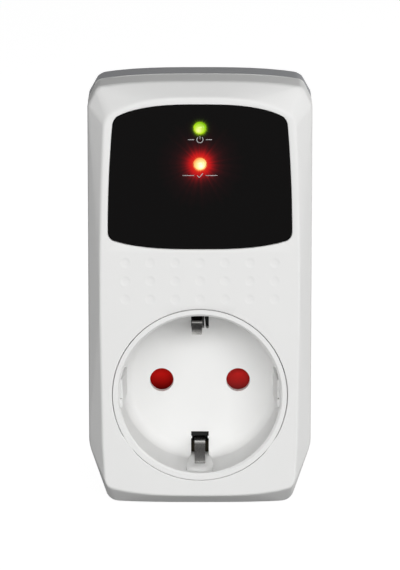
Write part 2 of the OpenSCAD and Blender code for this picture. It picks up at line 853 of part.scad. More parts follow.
// The whole insert: cup, guides, ears and slot pads, and the posts and fences behind its floor
module insert_form() difference() {
    union() {
        insert_body();
        both_sides() {
            difference() {
                block(well_r - guide_rise, well_r + guide_root, -guide_w / 2, guide_w / 2,
                      guide_start_d, well_d + air);
                block(0, well_r - guide_rise / 4, -guide_notch_w / 2, guide_notch_w / 2,
                      0, guide_start_d + guide_notch_d);
            }
            rod(ear_x, ear_z, flange_d, flange_d + flange_t, ear_r);
            rod((bracket_in + bracket_out) / 2, 0, floor_back_d - air, bracket_d, ring_post_r);
        }
        above_and_below() {
            block(-slot_pad_w / 2, slot_pad_w / 2, well_r + guide_root, slot_pad_z,
                  flange_d + flange_t, floor_back_d);
            rod(0, post_z, floor_back_d - air, plate_d, post_r);
        }
        difference() {
            rod(0, 0, floor_back_d - air, plate_d, fence_out);
            rod(0, 0, floor_back_d - cut, plate_d + cut, fence_in);
            block(-fence_gap_w / 2, fence_gap_w / 2, -fence_out - cut, fence_out + cut,
                  floor_back_d - cut, plate_d + cut);
        }
        rod(0, 0, floor_back_d - air, hub_seat_d, hub_seat_r);
    }
    both_sides() {
        rod(pin_pitch / 2, 0, well_d - cut, floor_back_d + cut, pin_hole_r);
        rod(ear_x, ear_z, flange_d - cut, flange_d + flange_t + cut, ear_post_r + air);
        rod((bracket_in + bracket_out) / 2, 0, bracket_d - rivet_deep, bracket_d + cut,
            rivet_r + pin_fit);
    }
    above_and_below() {
        rod(0, post_z, plate_back_d - plate_screw_len - air, plate_d + cut, small_screw_r + pin_fit);
        translate([0, front_y, well_r - cut]) linear_extrude(groove_z - well_r + cut) polygon([
            [-flare_w / 2, flare_d], [flare_w / 2, flare_d], [slot_w / 2, well_d],
            [slot_w / 2, floor_back_d + cut], [-slot_w / 2, floor_back_d + cut], [-slot_w / 2, well_d]
        ]);
    }
    block(-slot_w / 2, slot_w / 2, -well_r, -slot_z, well_d - well_fillet, floor_back_d + cut);
    block(-slot_w / 2, rib_x, slot_z, well_r, well_d - well_fillet, floor_back_d + cut);
    block(rib_x + rib_w, slot_w / 2, slot_z, well_r, well_d - well_fillet, floor_back_d + cut);
    rod(0, 0, floor_back_d - pivot_root, plate_d, pivot_r + pin_fit);
}

// The cup and its floor are moulded in one, and are two nodes that meet at floor_r
module socket_insert() color("white") difference() {
    insert_form();
    rod(0, 0, well_d - cut, plate_d + cut, floor_r);
}

module socket_floor() color("white") intersection() {
    insert_form();
    rod(0, 0, well_d - cut, plate_d + cut, floor_r);
}

module insert_screws() color("silver") both_sides() translate([ear_x, 0, ear_z])
    screw(flange_d + flange_t + air, small_screw_r, ear_screw_len, ear_screw_head_r, ear_screw_head_t);

// One shutter pad and its half of the bar; the pad's face slopes down towards +Z
module shutter_half() {
    intersection() {
        rod(pin_pitch / 2, 0, shutter_rise_d, shutter_back_d, pad_r);
        translate([pin_pitch / 2, front_y + shutter_rise_d, -pad_r]) rotate([-pad_slope, 0, 0])
            translate([-2 * pad_r, 0, -pad_r]) cube([4 * pad_r, 4 * pad_r, 4 * pad_r]);
    }
    block(0, pin_pitch / 2, -bar_half, bar_half, shutter_flat_d, shutter_back_d);
}

module safety_shutter() color("firebrick") difference() {
    union() {
        shutter_half();
        rotate([0, 180, 0]) shutter_half();
        rod(0, 0, hub_front_d, shutter_back_d, hub_r);
    }
    rod(0, 0, floor_back_d - cut, plate_d, hub_bore_r);
    difference() {
        rod(0, 0, shutter_back_d - spring_pocket_t, shutter_back_d + cut, spring_pocket_r);
        rod(0, 0, floor_back_d, plate_d + cut, spring_pocket_in);
    }
}

module shutter_pivot() color("silver")
    rod(0, 0, floor_back_d - pivot_root, plate_back_d - seat_gap, pivot_r);

// The return spring's coil, with the tail that rests on the retaining plate
module shutter_spring() color("lightsteelblue") {
    difference() {
        rod(0, 0, shutter_back_d - spring_pocket_t + seat_gap, shutter_back_d - air,
            spring_pocket_r - seat_gap);
        rod(0, 0, floor_back_d, plate_d, spring_pocket_r - seat_gap - 2 * spring_wire);
    }
    rod(spring_pocket_r - seat_gap - spring_wire, 0, shutter_back_d - 2 * air, plate_d,
        spring_wire / 2);
}

module shutter_plate() color("whitesmoke") difference() {
    intersection() {
        rod(0, 0, plate_d, plate_back_d, plate_r);
        block(-plate_r, plate_r, -plate_half_z, plate_half_z, plate_d - cut, plate_back_d + cut);
    }
    both_sides() rod(pin_pitch / 2, 0, plate_d - cut, plate_back_d + cut, plate_hole_r);
    above_and_below() rod(0, post_z, plate_d - cut, plate_back_d + cut, small_screw_r + air);
    rod(0, 0, plate_d - cut, plate_back_d + cut, pivot_r + pin_fit);
}

module plate_screws() color("silver") above_and_below() translate([0, 0, post_z])
    screw(plate_back_d, small_screw_r, plate_screw_len, plate_screw_head_r, plate_screw_head_t);

// One side of a strip t thick along a line of points
function strip_side(line, t, side) =
    [for (i = [0:len(line) - 1])
        let (back = unit(line[max(i, 1)] - line[max(i, 1) - 1]),
             ahead = i == len(line) - 1 ? back : unit(line[i + 1] - line[i]),
             along = unit(back + ahead))
        line[i] + side * [-along[1], along[0]] * t / 2 / (along * back)];

// An earth clip seen along the well: tip, crest, leg through the floor and rolled root
module earth_clip(shift) {
    tip = [clip_tip_d, clip_tip_z];
    crest = [clip_crest_d, clip_crest_z];
    knee = [well_d, clip_floor_z];
    root = [clip_seat_d, clip_seat_z];
    line = concat([tip], corner(tip, crest, knee, clip_bend_r), [knee, root]);
    translate([shift - clip_w / 2, front_y, 0]) rotate([90, 0, 90]) linear_extrude(clip_w)
        polygon(concat(strip_side(line, clip_t, 1), reversed(strip_side(line, clip_t, -1))));
    translate([shift - clip_w / 2, front_y + clip_seat_d, clip_seat_z]) rotate([0, 90, 0])
        cylinder(h = clip_w, r = clip_roll_r);
}

module earth_clip_top() color("gray") earth_clip(-clip_shift);

module earth_clip_bottom() color("gray") mirror([0, 0, 1]) earth_clip(0);

// The ring that joins both clips to both plug earth contacts
module earth_bracket() color("goldenrod") difference() {
    rod(0, 0, bracket_d, bracket_d + bracket_t, bracket_out);
    rod(0, 0, bracket_d - cut, bracket_d + bracket_t + cut, bracket_in);
    both_sides() rod((bracket_in + bracket_out) / 2, 0, bracket_d - cut, bracket_d + bracket_t + cut,
                     rivet_r + pin_fit);
}

module earth_rivets() color("silver") both_sides() translate([(bracket_in + bracket_out) / 2, 0, 0]) {
    rod(0, 0, bracket_d - rivet_deep, bracket_d + bracket_t + air, rivet_r);
    rod(0, 0, bracket_d + bracket_t, bracket_d + bracket_t + rivet_head_t, rivet_head_r);
}

module plug_earth() color("silver") {
    block(-earth_w / 2, earth_w / 2, strip_in, strip_out, bracket_d + bracket_t,
          case_d + plug_reach - strip_end);
}

module plug_earth_top() plug_earth();

module plug_earth_bottom() mirror([0, 0, 1]) plug_earth();

module contact_carrier() color("beige") difference() {
    union() {
        rod(0, 0, disc_d, disc_back_d, disc_r);
        both_sides() block(
            pin_pitch / 2 - cell_in_x - cell_wall, pin_pitch / 2 + cell_in_x + cell_wall,
            -cell_in_z - cell_wall, cell_in_z + cell_wall, carrier_front_d, disc_d + air);
        above_and_below() both_sides()
            rod(carrier_post_x, carrier_post_z, disc_back_d - air, end_wall_d - seat_gap, carrier_post_r);
    }
    both_sides() {
        block(pin_pitch / 2 - cell_in_x, pin_pitch / 2 + cell_in_x, -cell_in_z, cell_in_z,
              carrier_front_d - cut, disc_d);
        block(pin_pitch / 2 - strap_w / 2 - slot_fit, pin_pitch / 2 + strap_w / 2 + slot_fit,
              bar_z - slot_fit, bar_z + bar_thick + slot_fit, disc_d - cut, disc_back_d + cut);
    }
    block(pin_pitch / 2 - leg_w / 2 - slot_fit, pin_pitch / 2 + leg_w / 2 + slot_fit,
          -leg_z - slot_fit, -leg_z + leg_t + slot_fit, disc_d - cut, disc_back_d + cut);
    block(-pin_pitch / 2 - strap_w / 2 - slot_fit, -pin_pitch / 2 + strap_w / 2 + slot_fit,
          -cell_in_z - cell_wall - cut, -cell_in_z + air, contact_root_d - slot_fit, disc_d);
}

// A receptacle contact: two leaves with flared tips joined by a web
module fork(x) translate([x, front_y, -leaf_w / 2]) linear_extrude(leaf_w) {
    for (side = [-1, 1]) polygon([
        [side * leaf_in, contact_root_d + air], [side * leaf_in, contact_tip_d + flare_len],
        [side * (leaf_in + flare_out), contact_tip_d], [side * (leaf_out + flare_out / 4), contact_tip_d],
        [side * leaf_out, contact_tip_d + flare_len], [side * leaf_out, contact_root_d + air]
    ]);
    translate([-leaf_out, contact_root_d]) square([2 * leaf_out, web_t]);
}

module live_contact() color("gold") {
    fork(-pin_pitch / 2);
    block(-pin_pitch / 2 - strap_w / 2, -pin_pitch / 2 + strap_w / 2, -bar_z - bar_thick, -leaf_w / 2 + air,
          contact_root_d, contact_back_d);
    block(-pin_pitch / 2 - strap_w / 2, -pin_pitch / 2 + strap_w / 2, -bar_z - bar_thick, -bar_z,
          bar_front_d, contact_back_d);
}

module neutral_contact() color("gold") {
    fork(pin_pitch / 2);
    block(pin_pitch / 2 - leg_w / 2, pin_pitch / 2 + leg_w / 2, -leg_z, -leg_z + leg_t,
          contact_root_d, foot_d);
}

// A foot plate on a plug pin's tail, with a bar that runs forward over the contact
module busbar(x) difference() {
    union() {
        block(x - strap_w / 2, x + strap_w / 2, -foot_low, bar_z + bar_thick, foot_d, foot_d + foot_t);
        block(x - strap_w / 2, x + strap_w / 2, bar_z, bar_z + bar_thick, bar_front_d, foot_d + foot_t);
    }
    rod(x, 0, foot_d - cut, foot_d + foot_t + cut, pin_tail_r + foot_fit);
}

module live_busbar() color("darkgoldenrod") busbar(-pin_pitch / 2);

module neutral_busbar() color("darkgoldenrod") busbar(pin_pitch / 2);

module plug_pin(x) translate([x, front_y, 0]) rotate([-90, 0, 0]) rotate_extrude() polygon(concat(
    [[0, pin_flange_d - pin_tail_t], [pin_tail_r, pin_flange_d - pin_tail_t], [pin_tail_r, pin_flange_d],
     [pin_flange_r, pin_flange_d], [pin_flange_r, pin_flange_d + pin_flange_t],
     [pin_root_r, pin_flange_d + pin_flange_t], [pin_root_r, case_d + plug_reach],
     [pin_r, case_d + plug_reach]],
    [for (i = [0:corner_steps])
        let (a = 90 * i / corner_steps)
        [pin_r - pin_tip + pin_tip * cos(a), case_d + plug_reach + pin_len - pin_tip + pin_tip * sin(a)]],
    [[0, case_d + plug_reach + pin_len]]
));

module plug_pin_live() color("silver") plug_pin(-pin_pitch / 2);

module plug_pin_neutral() color("silver") plug_pin(pin_pitch / 2);

// An insulated wire along a route of [x, height, depth], with round bends
module wire(route) {
    for (i = [0:len(route) - 2]) {
        a = [route[i][0], front_y + route[i][2], route[i][1]];
        b = [route[i + 1][0], front_y + route[i + 1][2], route[i + 1][1]];
        run = b - a;
        translate(a) rotate([0, acos(run[2] / norm(run)), atan2(run[1], run[0])])
            cylinder(h = norm(run), r = wire_r);
    }
    for (i = [1:len(route) - 2])
        translate([route[i][0], front_y + route[i][2], route[i][1]]) sphere(r = wire_r + bend_swell);
}

module live_in_wire() color("brown") wire(live_in_route);

module live_out_wire() color("black") wire(live_out_route);

module neutral_wire() color("royalblue") wire(neutral_route);

module circuit_board() color("darkgreen") difference() {
    block(-board_w / 2, board_w / 2, board_low_z, board_top_z, board_d, board_back_d);
    both_sides() {
        rod(boss_top_x, boss_top_z, board_d - cut, board_back_d + cut, boss_r + notch_gap);
        rod(board_post_x, board_post_z, board_d - cut, board_back_d + cut, small_screw_r + notch_gap);
    }
    both_sides() for (z = [power_z, status_z])
        rod(light_leg_x, z, board_d - cut, board_back_d + cut, light_leg_r + air / 2);
}

module board_screws() color("silver") both_sides() translate([board_post_x, 0, board_post_z])
    screw(board_back_d, small_screw_r, board_screw_len, board_screw_head_r, board_screw_head_t);

module terminal_tabs() color("silver") for (x = [live_in_x, live_out_x, neutral_x])
    block(x - tab_w / 2, x + tab_w / 2, tab_z - tab_t / 2, tab_z + tab_t / 2, board_back_d, part_d + tab_h);

module light_holder() color("dimgray") difference() {
    block(-holder_half_x, holder_half_x, status_z - holder_margin_z, power_z + holder_margin_z,
          holder_d, board_d);
    for (z = [power_z, status_z]) {
        rod(0, z, holder_d - cut, board_d + cut, light_r + air);
        rod(0, z, light_flange_d - air, board_d + cut, light_flange_r + air);
    }
}

// A round indicator lamp with a domed lens, a flange and two legs
module lamp(z) translate([0, 0, z]) {
    translate([0, front_y, 0]) rotate([-90, 0, 0]) rotate_extrude() polygon(concat(
        [for (i = [0:corner_steps])
            let (a = 90 * i / corner_steps)
            [light_r * sin(a), -light_rise + light_r * (1 - cos(a))]],
        [[light_r, light_flange_d], [light_flange_r, light_flange_d],
         [light_flange_r, light_flange_d + light_flange_t], [0, light_flange_d + light_flange_t]]
    ));
    for (side = [-1, 1])
        rod(side * light_leg_x, 0, light_flange_d + light_flange_t - air, board_back_d + air, light_leg_r);
}

module power_light() color("yellowgreen") lamp(power_z);

module status_light() color("red") lamp(status_z);

// A box on the board's back: low corner x and z, size, and lift off the board
module on_board(x0, z0, size) {
    block(x0, x0 + size[0], z0, z0 + size[1], part_d, part_d + size[2]);
}

// A lead from a part down into the board
module lead(x, z) {
    rod(x, z, board_back_d, part_d + air, lead_r);
}

module relay_base() color("dimgray") {
    block(relay_x0 + relay_wall + relay_gap, relay_x1 - relay_wall - relay_gap,
          relay_z0 + relay_wall + relay_gap, relay_z1 - relay_wall - relay_gap,
          part_d, part_d + relay_base_t);
    for (x = [relay_x0 + 3 * relay_wall, relay_x1 - 3 * relay_wall],
         z = [relay_z0 + 3 * relay_wall, relay_z1 - 3 * relay_wall])
        rod(x, z, board_back_d, part_d + air, relay_pin_r);
}

module relay_cover() color("navy") difference() {
    block(relay_x0, relay_x1, relay_z0, relay_z1, part_d + relay_cover_lift, part_d + relay_t);
    block(relay_x0 + relay_wall, relay_x1 - relay_wall, relay_z0 + relay_wall, relay_z1 - relay_wall,
          part_d, part_d + relay_t - relay_wall);
}

// A round bar across the case inside the relay, h off its base plane
module relay_rod(x0, x1, h, r) {
    translate([x0, front_y + part_d + h, relay_mid_z]) rotate([0, 90, 0]) cylinder(h = x1 - x0, r = r);
}

// A box inside the relay, as wide as twice the given half width
module relay_block(x0, x1, half, h0, h1) {
    block(x0, x1, relay_mid_z - half, relay_mid_z + half, part_d + h0, part_d + h1);
}

module relay_bobbin() color("ivory") difference() {
    union() {
        relay_rod(coil_x0, coil_x0 + coil_len + 2 * bobbin_t, coil_h, drum_r);
        for (x = [coil_x0, coil_x0 + coil_len + bobbin_t])
            relay_block(x, x + bobbin_t, bobbin_half, coil_h - bobbin_half, coil_h + bobbin_half);
        relay_block(coil_x0, coil_x0 + bobbin_t, bobbin_half, relay_base_t, coil_h);
    }
    relay_rod(coil_x0 - cut, pole_x + cut, coil_h, core_r + pin_fit);
}

module relay_coil() color("sienna") difference() {
    relay_rod(coil_x0 + bobbin_t, coil_x0 + bobbin_t + coil_len, coil_h, coil_r);
    relay_rod(coil_x0, pole_x, coil_h, drum_r);
}

module relay_core() color("gray") {
    relay_rod(coil_x0, pole_x + air, coil_h, core_r);
    relay_rod(pole_x, pole_x + pole_t, coil_h, pole_r);
}

module relay_yoke() color("gray") {
    relay_block(yoke_x0, coil_x0, yoke_half, relay_base_t + yoke_low_gap, yoke_h0 + yoke_t);
    relay_block(yoke_x0, armature_x0 - yoke_end_gap, yoke_half, yoke_h0, yoke_h0 + yoke_t);
}

module relay_armature() color("silver")
    relay_block(armature_x0, armature_x0 + armature_t, armature_half, armature_h0, armature_h1);

module relay_contact_spring() color("peru") {
    spring_x = armature_x0 + armature_t;
    relay_block(spring_x, spring_x + leaf_spring_t, leaf_spring_half, leaf_spring_h0, hinge_h);
    relay_rod(spring_x - button_t, spring_x + air, button_h, button_r);
}

module relay_fixed_contact() color("peru") {
    button_x = armature_x0 + armature_t - button_t - button_gap;
    relay_rod(button_x - button_t / 2, button_x, button_h, button_r);
    relay_block(button_x - button_t / 2 - fixed_t, button_x - button_t / 2, leaf_spring_half,
                relay_base_t, fixed_rise);
}

module varistor() color("royalblue") {
    translate([varistor_x0, front_y + part_d + varistor_r, varistor_z]) rotate([0, 90, 0])
        cylinder(h = varistor_t, r = varistor_r);
    for (side = [-1, 1]) rod(varistor_x0 + varistor_t / 2, varistor_z + side * varistor_r / 2,
                             board_back_d, part_d + varistor_r / 2, lead_r);
}

module thermal_fuse() color("gainsboro") {
    translate([fuse_x, front_y + part_d + fuse_r, fuse_z1 - fuse_len]) cylinder(h = fuse_len, r = fuse_r);
    for (z = [fuse_z1 - fuse_len + fuse_r, fuse_z1 - fuse_r]) lead(fuse_x, z);
}

module film_capacitor() color("gold") {
    on_board(film_x0, film_z0, [film_w, film_h, film_t]);
    for (x = [film_x0 + part_gap, film_x1 - part_gap]) lead(x, film_z0 + film_h / 2);
}

module can(x, z, r, h) {
    rod(x, z, part_d, part_d + h, r);
    for (side = [-1, 1]) lead(x + side * r / 2, z);
}

module bulk_capacitor() color("black") can(bulk_x, bulk_z, bulk_r, bulk_h);

module small_capacitor() color("black") can(small_x, small_z, small_r, small_h);

module rectifier() color("black") {
    on_board(rectifier_x0, lower_z1 - rectifier_h, [rectifier_w, rectifier_h, rectifier_t]);
    for (x = [rectifier_x0 + part_gap, rectifier_x1 - part_gap], side = [0.5, 1.5])
        lead(x, lower_z1 - rectifier_h * side / 2);
}

module controller_chip() color("black") {
    on_board(chip_x0, lower_z1 - chip_h, [chip_w, chip_h, chip_t]);
    for (i = [0:6], z = [lower_z1 - chip_h + 2 * lead_r, lower_z1 - 2 * lead_r])
        lead(chip_x0 + chip_w * (i + 0.5) / 7, z);
}

// A small upright transistor body, flat on one side
module transistor(x0, z0) {
    intersection() {
        on_board(x0, z0, transistor_size);
        rod(x0 + transistor_size[0] / 2, z0 + transistor_size[1] * transistor_axis_share, part_d,
            part_d + transistor_size[2], transistor_size[0] / 2);
    }
    for (i = [1:3]) lead(x0 + transistor_size[0] * i / 4, z0 + transistor_size[1] * transistor_axis_share);
}

module regulator() color("black") transistor(regulator_x0, transistor_z0);

module relay_transistor() color("black") transistor(transistor_x0, transistor_z0);

module dropper_resistor() color("lightblue") {
    translate([resistor_x0, front_y + part_d + resistor_r, resistor_z]) rotate([0, 90, 0])
        cylinder(h = resistor_len, r = resistor_r);
    for (x = [resistor_x0 + resistor_r, resistor_x0 + resistor_len - resistor_r]) lead(x, resistor_z);
}

// Chip resistors on the board's front
module chip_resistors() color("black") for (i = [0:chip_resistor_count - 1]) {
    x = (i - chip_resistor_count / 2) * chip_resistor_pitch;
    block(x, x + chip_resistor[0], chip_resistor_z, chip_resistor_z + chip_resistor[1],
          board_d - chip_resistor[2], board_d);
}

front_cover();
rear_cover();
plug_body();
display_window();
window_tape();
case_screws();
socket_insert();
socket_floor();
insert_screws();
safety_shutter();
shutter_pivot();
shutter_spring();
shutter_plate();
plate_screws();
earth_clip_top();
earth_clip_bottom();
earth_bracket();
earth_rivets();
plug_earth_top();
plug_earth_bottom();
contact_carrier();
live_contact();
neutral_contact();
live_busbar();
neutral_busbar();
plug_pin_live();
plug_pin_neutral();
live_in_wire();
live_out_wire();
neutral_wire();
circuit_board();
board_screws();
terminal_tabs();
light_holder();
power_light();
status_light();
relay_base();
relay_cover();
relay_bobbin();
relay_coil();
relay_core();
relay_yoke();
relay_armature();
relay_contact_spring();
relay_fixed_contact();
varistor();
thermal_fuse();
film_capacitor();
bulk_capacitor();
small_capacitor();
rectifier();
controller_chip();
regulator();
relay_transistor();
dropper_resistor();
chip_resistors();
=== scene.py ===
"""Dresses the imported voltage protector: covers, glossy window, lit lamps, socket, metal and a pale stage."""
import math
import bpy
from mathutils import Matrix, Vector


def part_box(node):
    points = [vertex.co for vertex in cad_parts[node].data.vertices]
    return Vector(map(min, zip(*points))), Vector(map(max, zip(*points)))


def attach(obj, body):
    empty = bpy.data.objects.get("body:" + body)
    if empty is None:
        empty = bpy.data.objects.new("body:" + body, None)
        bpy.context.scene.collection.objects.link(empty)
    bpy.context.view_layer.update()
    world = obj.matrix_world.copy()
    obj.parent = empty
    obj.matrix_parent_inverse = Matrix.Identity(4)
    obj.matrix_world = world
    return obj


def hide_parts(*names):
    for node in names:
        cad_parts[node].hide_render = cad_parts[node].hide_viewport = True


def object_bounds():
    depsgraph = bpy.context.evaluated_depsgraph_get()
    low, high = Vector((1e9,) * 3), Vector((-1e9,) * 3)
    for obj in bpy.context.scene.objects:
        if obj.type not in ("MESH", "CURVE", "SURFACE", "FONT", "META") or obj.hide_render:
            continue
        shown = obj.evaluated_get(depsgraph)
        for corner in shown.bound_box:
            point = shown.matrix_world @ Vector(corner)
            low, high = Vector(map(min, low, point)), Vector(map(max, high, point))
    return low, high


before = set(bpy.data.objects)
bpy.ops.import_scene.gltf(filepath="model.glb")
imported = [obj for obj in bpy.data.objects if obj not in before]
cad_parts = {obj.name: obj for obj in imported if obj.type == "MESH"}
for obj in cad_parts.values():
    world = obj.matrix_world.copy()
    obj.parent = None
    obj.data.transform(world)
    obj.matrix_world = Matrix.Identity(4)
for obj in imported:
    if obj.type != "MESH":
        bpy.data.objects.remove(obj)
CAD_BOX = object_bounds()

from types import SimpleNamespace

import bmesh
import bpy
import numpy as np
from bpy.props import FloatProperty, FloatVectorProperty, PointerProperty
from mathutils import Vector

bl_info = {
    "name": "Voltage protector dressing",
    "version": (1, 0, 0),
    "blender": (4, 5, 0),
    "location": "View3D > Sidebar > Protector",
    "description": "Builds the visible pieces, finishes and stage round the packed solids",
    "category": "Object",
}

LOW, HIGH = (1000 * np.array(corner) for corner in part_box("front_cover"))
FRONT = float(LOW[1])  # every depth in millimetres is measured back from the front face
ACROSS = 241  # points across the face, through the dimple field
SIDE_STEPS = 16  # steps along the curved sides of the face and the window
WINDOW_MIDDLE = np.array([0, 54.0])  # rays from here meet every outline of the window once


# Sizes and colours that a user may change

def linear(text):
    """An sRGB hex colour as linear red, green and blue."""
    c = np.array([int(text[i:i + 2], 16) for i in (0, 2, 4)]) / 255
    return tuple(np.where(c <= 0.04045, c / 12.92, ((c + 0.055) / 1.055) ** 2.4))


def size(label, about, millimetres):
    return FloatProperty(name=label, description=about, default=millimetres / 1000, min=0,
                         precision=5, unit="LENGTH")


def tint(label, about, text):
    return FloatVectorProperty(name=label, description=about, default=linear(text), size=3,
                               min=0, max=1, subtype="COLOR")


class CaseSizes(bpy.types.PropertyGroup):
    width: size("Width", "Across the side walls", HIGH[0] - LOW[0])
    crown: size("Crown", "Top of the case above the socket axis", HIGH[2] - 0.45)
    sole: size("Sole", "Bottom of the case below the socket axis", -LOW[2])
    seam: size("Seam", "Depth where the front cover ends", HIGH[1] - LOW[1])
    wall: size("Wall", "Thickness of the side walls", 2.2)
    face_wall: size("Face wall", "Thickness of the front wall", 2.6)
    shoulder: size("Shoulder", "Drop from the crown to where the sides start to slope in", 6.1)
    hip: size("Hip", "Where the sides start to slope in below the socket axis", 13.6)
    bevel_depth: size("Bevel depth", "Depth over which the front edges slope", 5.5)
    bevel_side: size("Side bevel", "Width of the slope along the sides", 3.1)
    bevel_crown: size("Top bevel", "Height of the slope over the window", 3.5)
    bevel_sole: size("Bottom bevel", "Height of the slope under the socket", 3.2)
    corner: size("Corner radius", "Radius of the four outer corners", 3.4)
    bead: size("Seam bead", "How far the bead along the seam stands out", 0.12)
    face_edge: size("Face edge", "How far the face's edge is rounded back", 0.45)
    side_edge: size("Side edge", "How far the edge of the sides is rounded back", 1.3)


class WindowSizes(bpy.types.PropertyGroup):
    rim: size("Rim", "Margin of the face above the window", 1.7)
    height: size("Height", "Height of the window at its middle", 35.5)
    side: size("Side margin", "Margin of the face beside the window", 2.05)
    sink: size("Sink", "How far the window lies below the face", 0.1)
    thick: size("Thickness", "Thickness of the window", 1.4)
    pocket: size("Pocket", "Depth of the ledge that carries the window", 1.6)
    ledge: size("Ledge", "Width of the ledge that carries the window", 2.0)
    gap: size("Gap", "Gap between the window and the cover", 0.1)


class DimpleSizes(bpy.types.PropertyGroup):
    pitch_x: size("Column spacing", "Spacing of the columns", 6.07)
    pitch_z: size("Row spacing", "Spacing of the rows", 4.55)
    low: size("Lowest row", "Height of the lowest row above the socket axis", 24.0)
    wide: size("Width", "Diameter of a dimple", 2.4)
    deep: size("Depth", "Depth of a dimple", 0.09)


class SocketSizes(bpy.types.PropertyGroup):
    hole: size("Opening", "Radius of the cover's round opening", 21.5)
    edge: size("Soft edge", "Width of the insert's softened edges", 0.2)
    well: size("Well radius", "Radius of the well", 19.75)
    rise: size("Guide rise", "How far the side guides stand out at their front end", 0.7)
    clip_edge: size("Clip edge", "Width of the earth clips' rounded edges", 0.25)


class Finishes(bpy.types.PropertyGroup):
    shell: tint("Front cover", "White moulded ABS", "E9E9E8")
    insert: tint("Socket insert", "White moulded polycarbonate", "EAEAE9")
    rear: tint("Rear cover", "Grey moulded ABS", "8E8F92")
    window: tint("Window", "Smoked black acrylic", "0C0B0B")
    shutter: tint("Shutter", "Red moulded polycarbonate", "BE1410")
    print_ink: tint("Print", "Pale grey ink of the small symbols", "A9A7A7")


# Flat outlines, in millimetres of width and height

def unit(v):
    return v / np.linalg.norm(v)


def corner_arc(a, b, c, radius, steps=24):
    """The corner b between a and c, as an arc that touches both sides."""
    if radius == 0:
        return b[None]
    u, v = unit(a - b), unit(c - b)
    half = np.arccos(np.clip(u @ v, -1, 1)) / 2
    middle = b + unit(u + v) * radius / np.sin(half)
    ends = [unit(b + w * radius / np.tan(half) - middle) for w in (u, v)]
    t = np.linspace(0, 1, steps + 1)[:, None]
    arc = ends[0] * (1 - t) + ends[1] * t
    return middle + radius * arc / np.linalg.norm(arc, axis=1, keepdims=True)


def outline(right_half):
    """A symmetric outline, counter-clockwise from the foot, from its right half of x, z and corner radius."""
    right = np.array(right_half, float)
    path = np.vstack([right, right[::-1] * [-1, 1, 1]])
    flat = path[:, :2]
    return np.vstack([corner_arc(flat[i - 1], flat[i], flat[(i + 1) % len(flat)], path[i, 2])
                      for i in range(len(flat))])


def levelled(points, heights):
    """A symmetric outline with extra points on both sides at the given heights."""
    right = points[:len(points) // 2]
    extra = np.column_stack([np.interp(heights, right[:, 1], right[:, 0]), heights])
    both = np.vstack([right, extra])
    both = both[np.argsort(both[:, 1], kind="stable")]
    return np.vstack([both, both[::-1] * [-1, 1]])


def inset(points, by):
    """An outline drawn in by a distance, point for point."""
    along = np.roll(points, -1, axis=0) - points
    along /= np.linalg.norm(along, axis=1, keepdims=True)
    out = np.column_stack([along[:, 1], -along[:, 0]])
    before = np.roll(out, 1, axis=0)
    return points - by * (out + before) / (1 + (out * before).sum(1))[:, None]


def paired(first, second):
    """Pairs the points of two convex outlines that face the same way, as the hull of both would."""
    turns = []
    for points in (first, second):
        along = np.roll(points, -1, axis=0) - points
        turn = np.mod(np.arctan2(along[:, 1], along[:, 0]), 2 * np.pi)
        turn[-1] = 2 * np.pi
        turns.append(np.maximum.accumulate(turn))
    step = np.argsort(np.concatenate(turns), kind="stable") < len(first)
    return np.r_[0, np.cumsum(step)[:-1]] % len(first), np.r_[0, np.cumsum(~step)[:-1]] % len(second)


def crown(x, drop, at=20):
    """A crowned edge falls away from its middle with the cube of the distance, by drop at 20 mm."""
    return drop * (np.abs(x) / at) ** 3


def crowned(half, z, drop, up, steps=40, clear=3.5):
    """The right half of a crowned edge, short of the corner by the length that its rounding takes."""
    x = (half - clear) * np.arange(1, steps) / (steps - 1)
    return [[a, z - up * crown(a, drop), 0] for a in x]


def case_outline(c):
    """The case's outline: crowned top and foot, straight sides that slope in above and below."""
    foot_in, head_in, foot_drop, head_drop = 5.0, 2.3, 0.35, 0.7
    hip_round, shoulder_round, head_round = 10, 2.5, c.corner * 0.7
    side = c.width / 2
    foot, head = side - foot_in, side - head_in
    return outline(
        crowned(foot, -c.sole, foot_drop, -1)
        + [[foot, -c.sole + crown(foot, foot_drop), c.corner], [side, -c.hip, hip_round],
           [side, c.crown - c.shoulder, shoulder_round],
           [head, c.crown - crown(head, head_drop), head_round]]
        + crowned(head, c.crown, head_drop, 1)[::-1])


def face_outline(c):
    """The front face's outline, which narrows from its widest height to the top with the square of height."""
    foot_in, foot_drop, foot_round = 1.1, 1.45, 2.4
    hip_in, hip, hip_round = 0.5, -12.4, 6
    widest, head_in, head_below, head_drop, head_round = 22, 1.2, 4.6, 3.1, 4.4
    half = c.width / 2 - c.bevel_side
    top, low = c.crown - c.bevel_crown, -(c.sole - c.bevel_sole)
    foot, head, turn = half - foot_in, half - head_in, top - head_below
    sides = [[half - head_in * s * s, widest + (turn - widest) * s, 0]
             for s in np.arange(SIDE_STEPS - 1) / SIDE_STEPS]
    return outline(
        crowned(foot, low, foot_drop, -1)
        + [[foot, low + crown(foot, foot_drop), foot_round], [half - hip_in, hip, hip_round]]
        + sides + [[head, turn, head_round]] + crowned(head, top, head_drop, 1)[::-1])


def window_outline(c, w):
    """The window's outline: crowned top and foot, and sides that narrow with the square of height."""
    low_drop, low_round, head_in, head_drop, head_round = 1.75, 2.2, 1.35, 2.75, 3
    half = c.width / 2 - c.bevel_side - w.side
    top, head = c.crown - c.bevel_crown - w.rim, half - head_in
    low = top - w.height
    low_z, top_z = low + crown(half, low_drop), top - crown(head, head_drop)
    sides = [[half - head_in * s * s, low_z + (top_z - low_z) * s, 0]
             for s in np.arange(2, SIDE_STEPS - 2) / SIDE_STEPS]
    return outline(crowned(half, low, low_drop, -1) + [[half, low_z, low_round]] + sides
                   + [[head, top_z, head_round]] + crowned(head, top, head_drop, 1)[::-1])


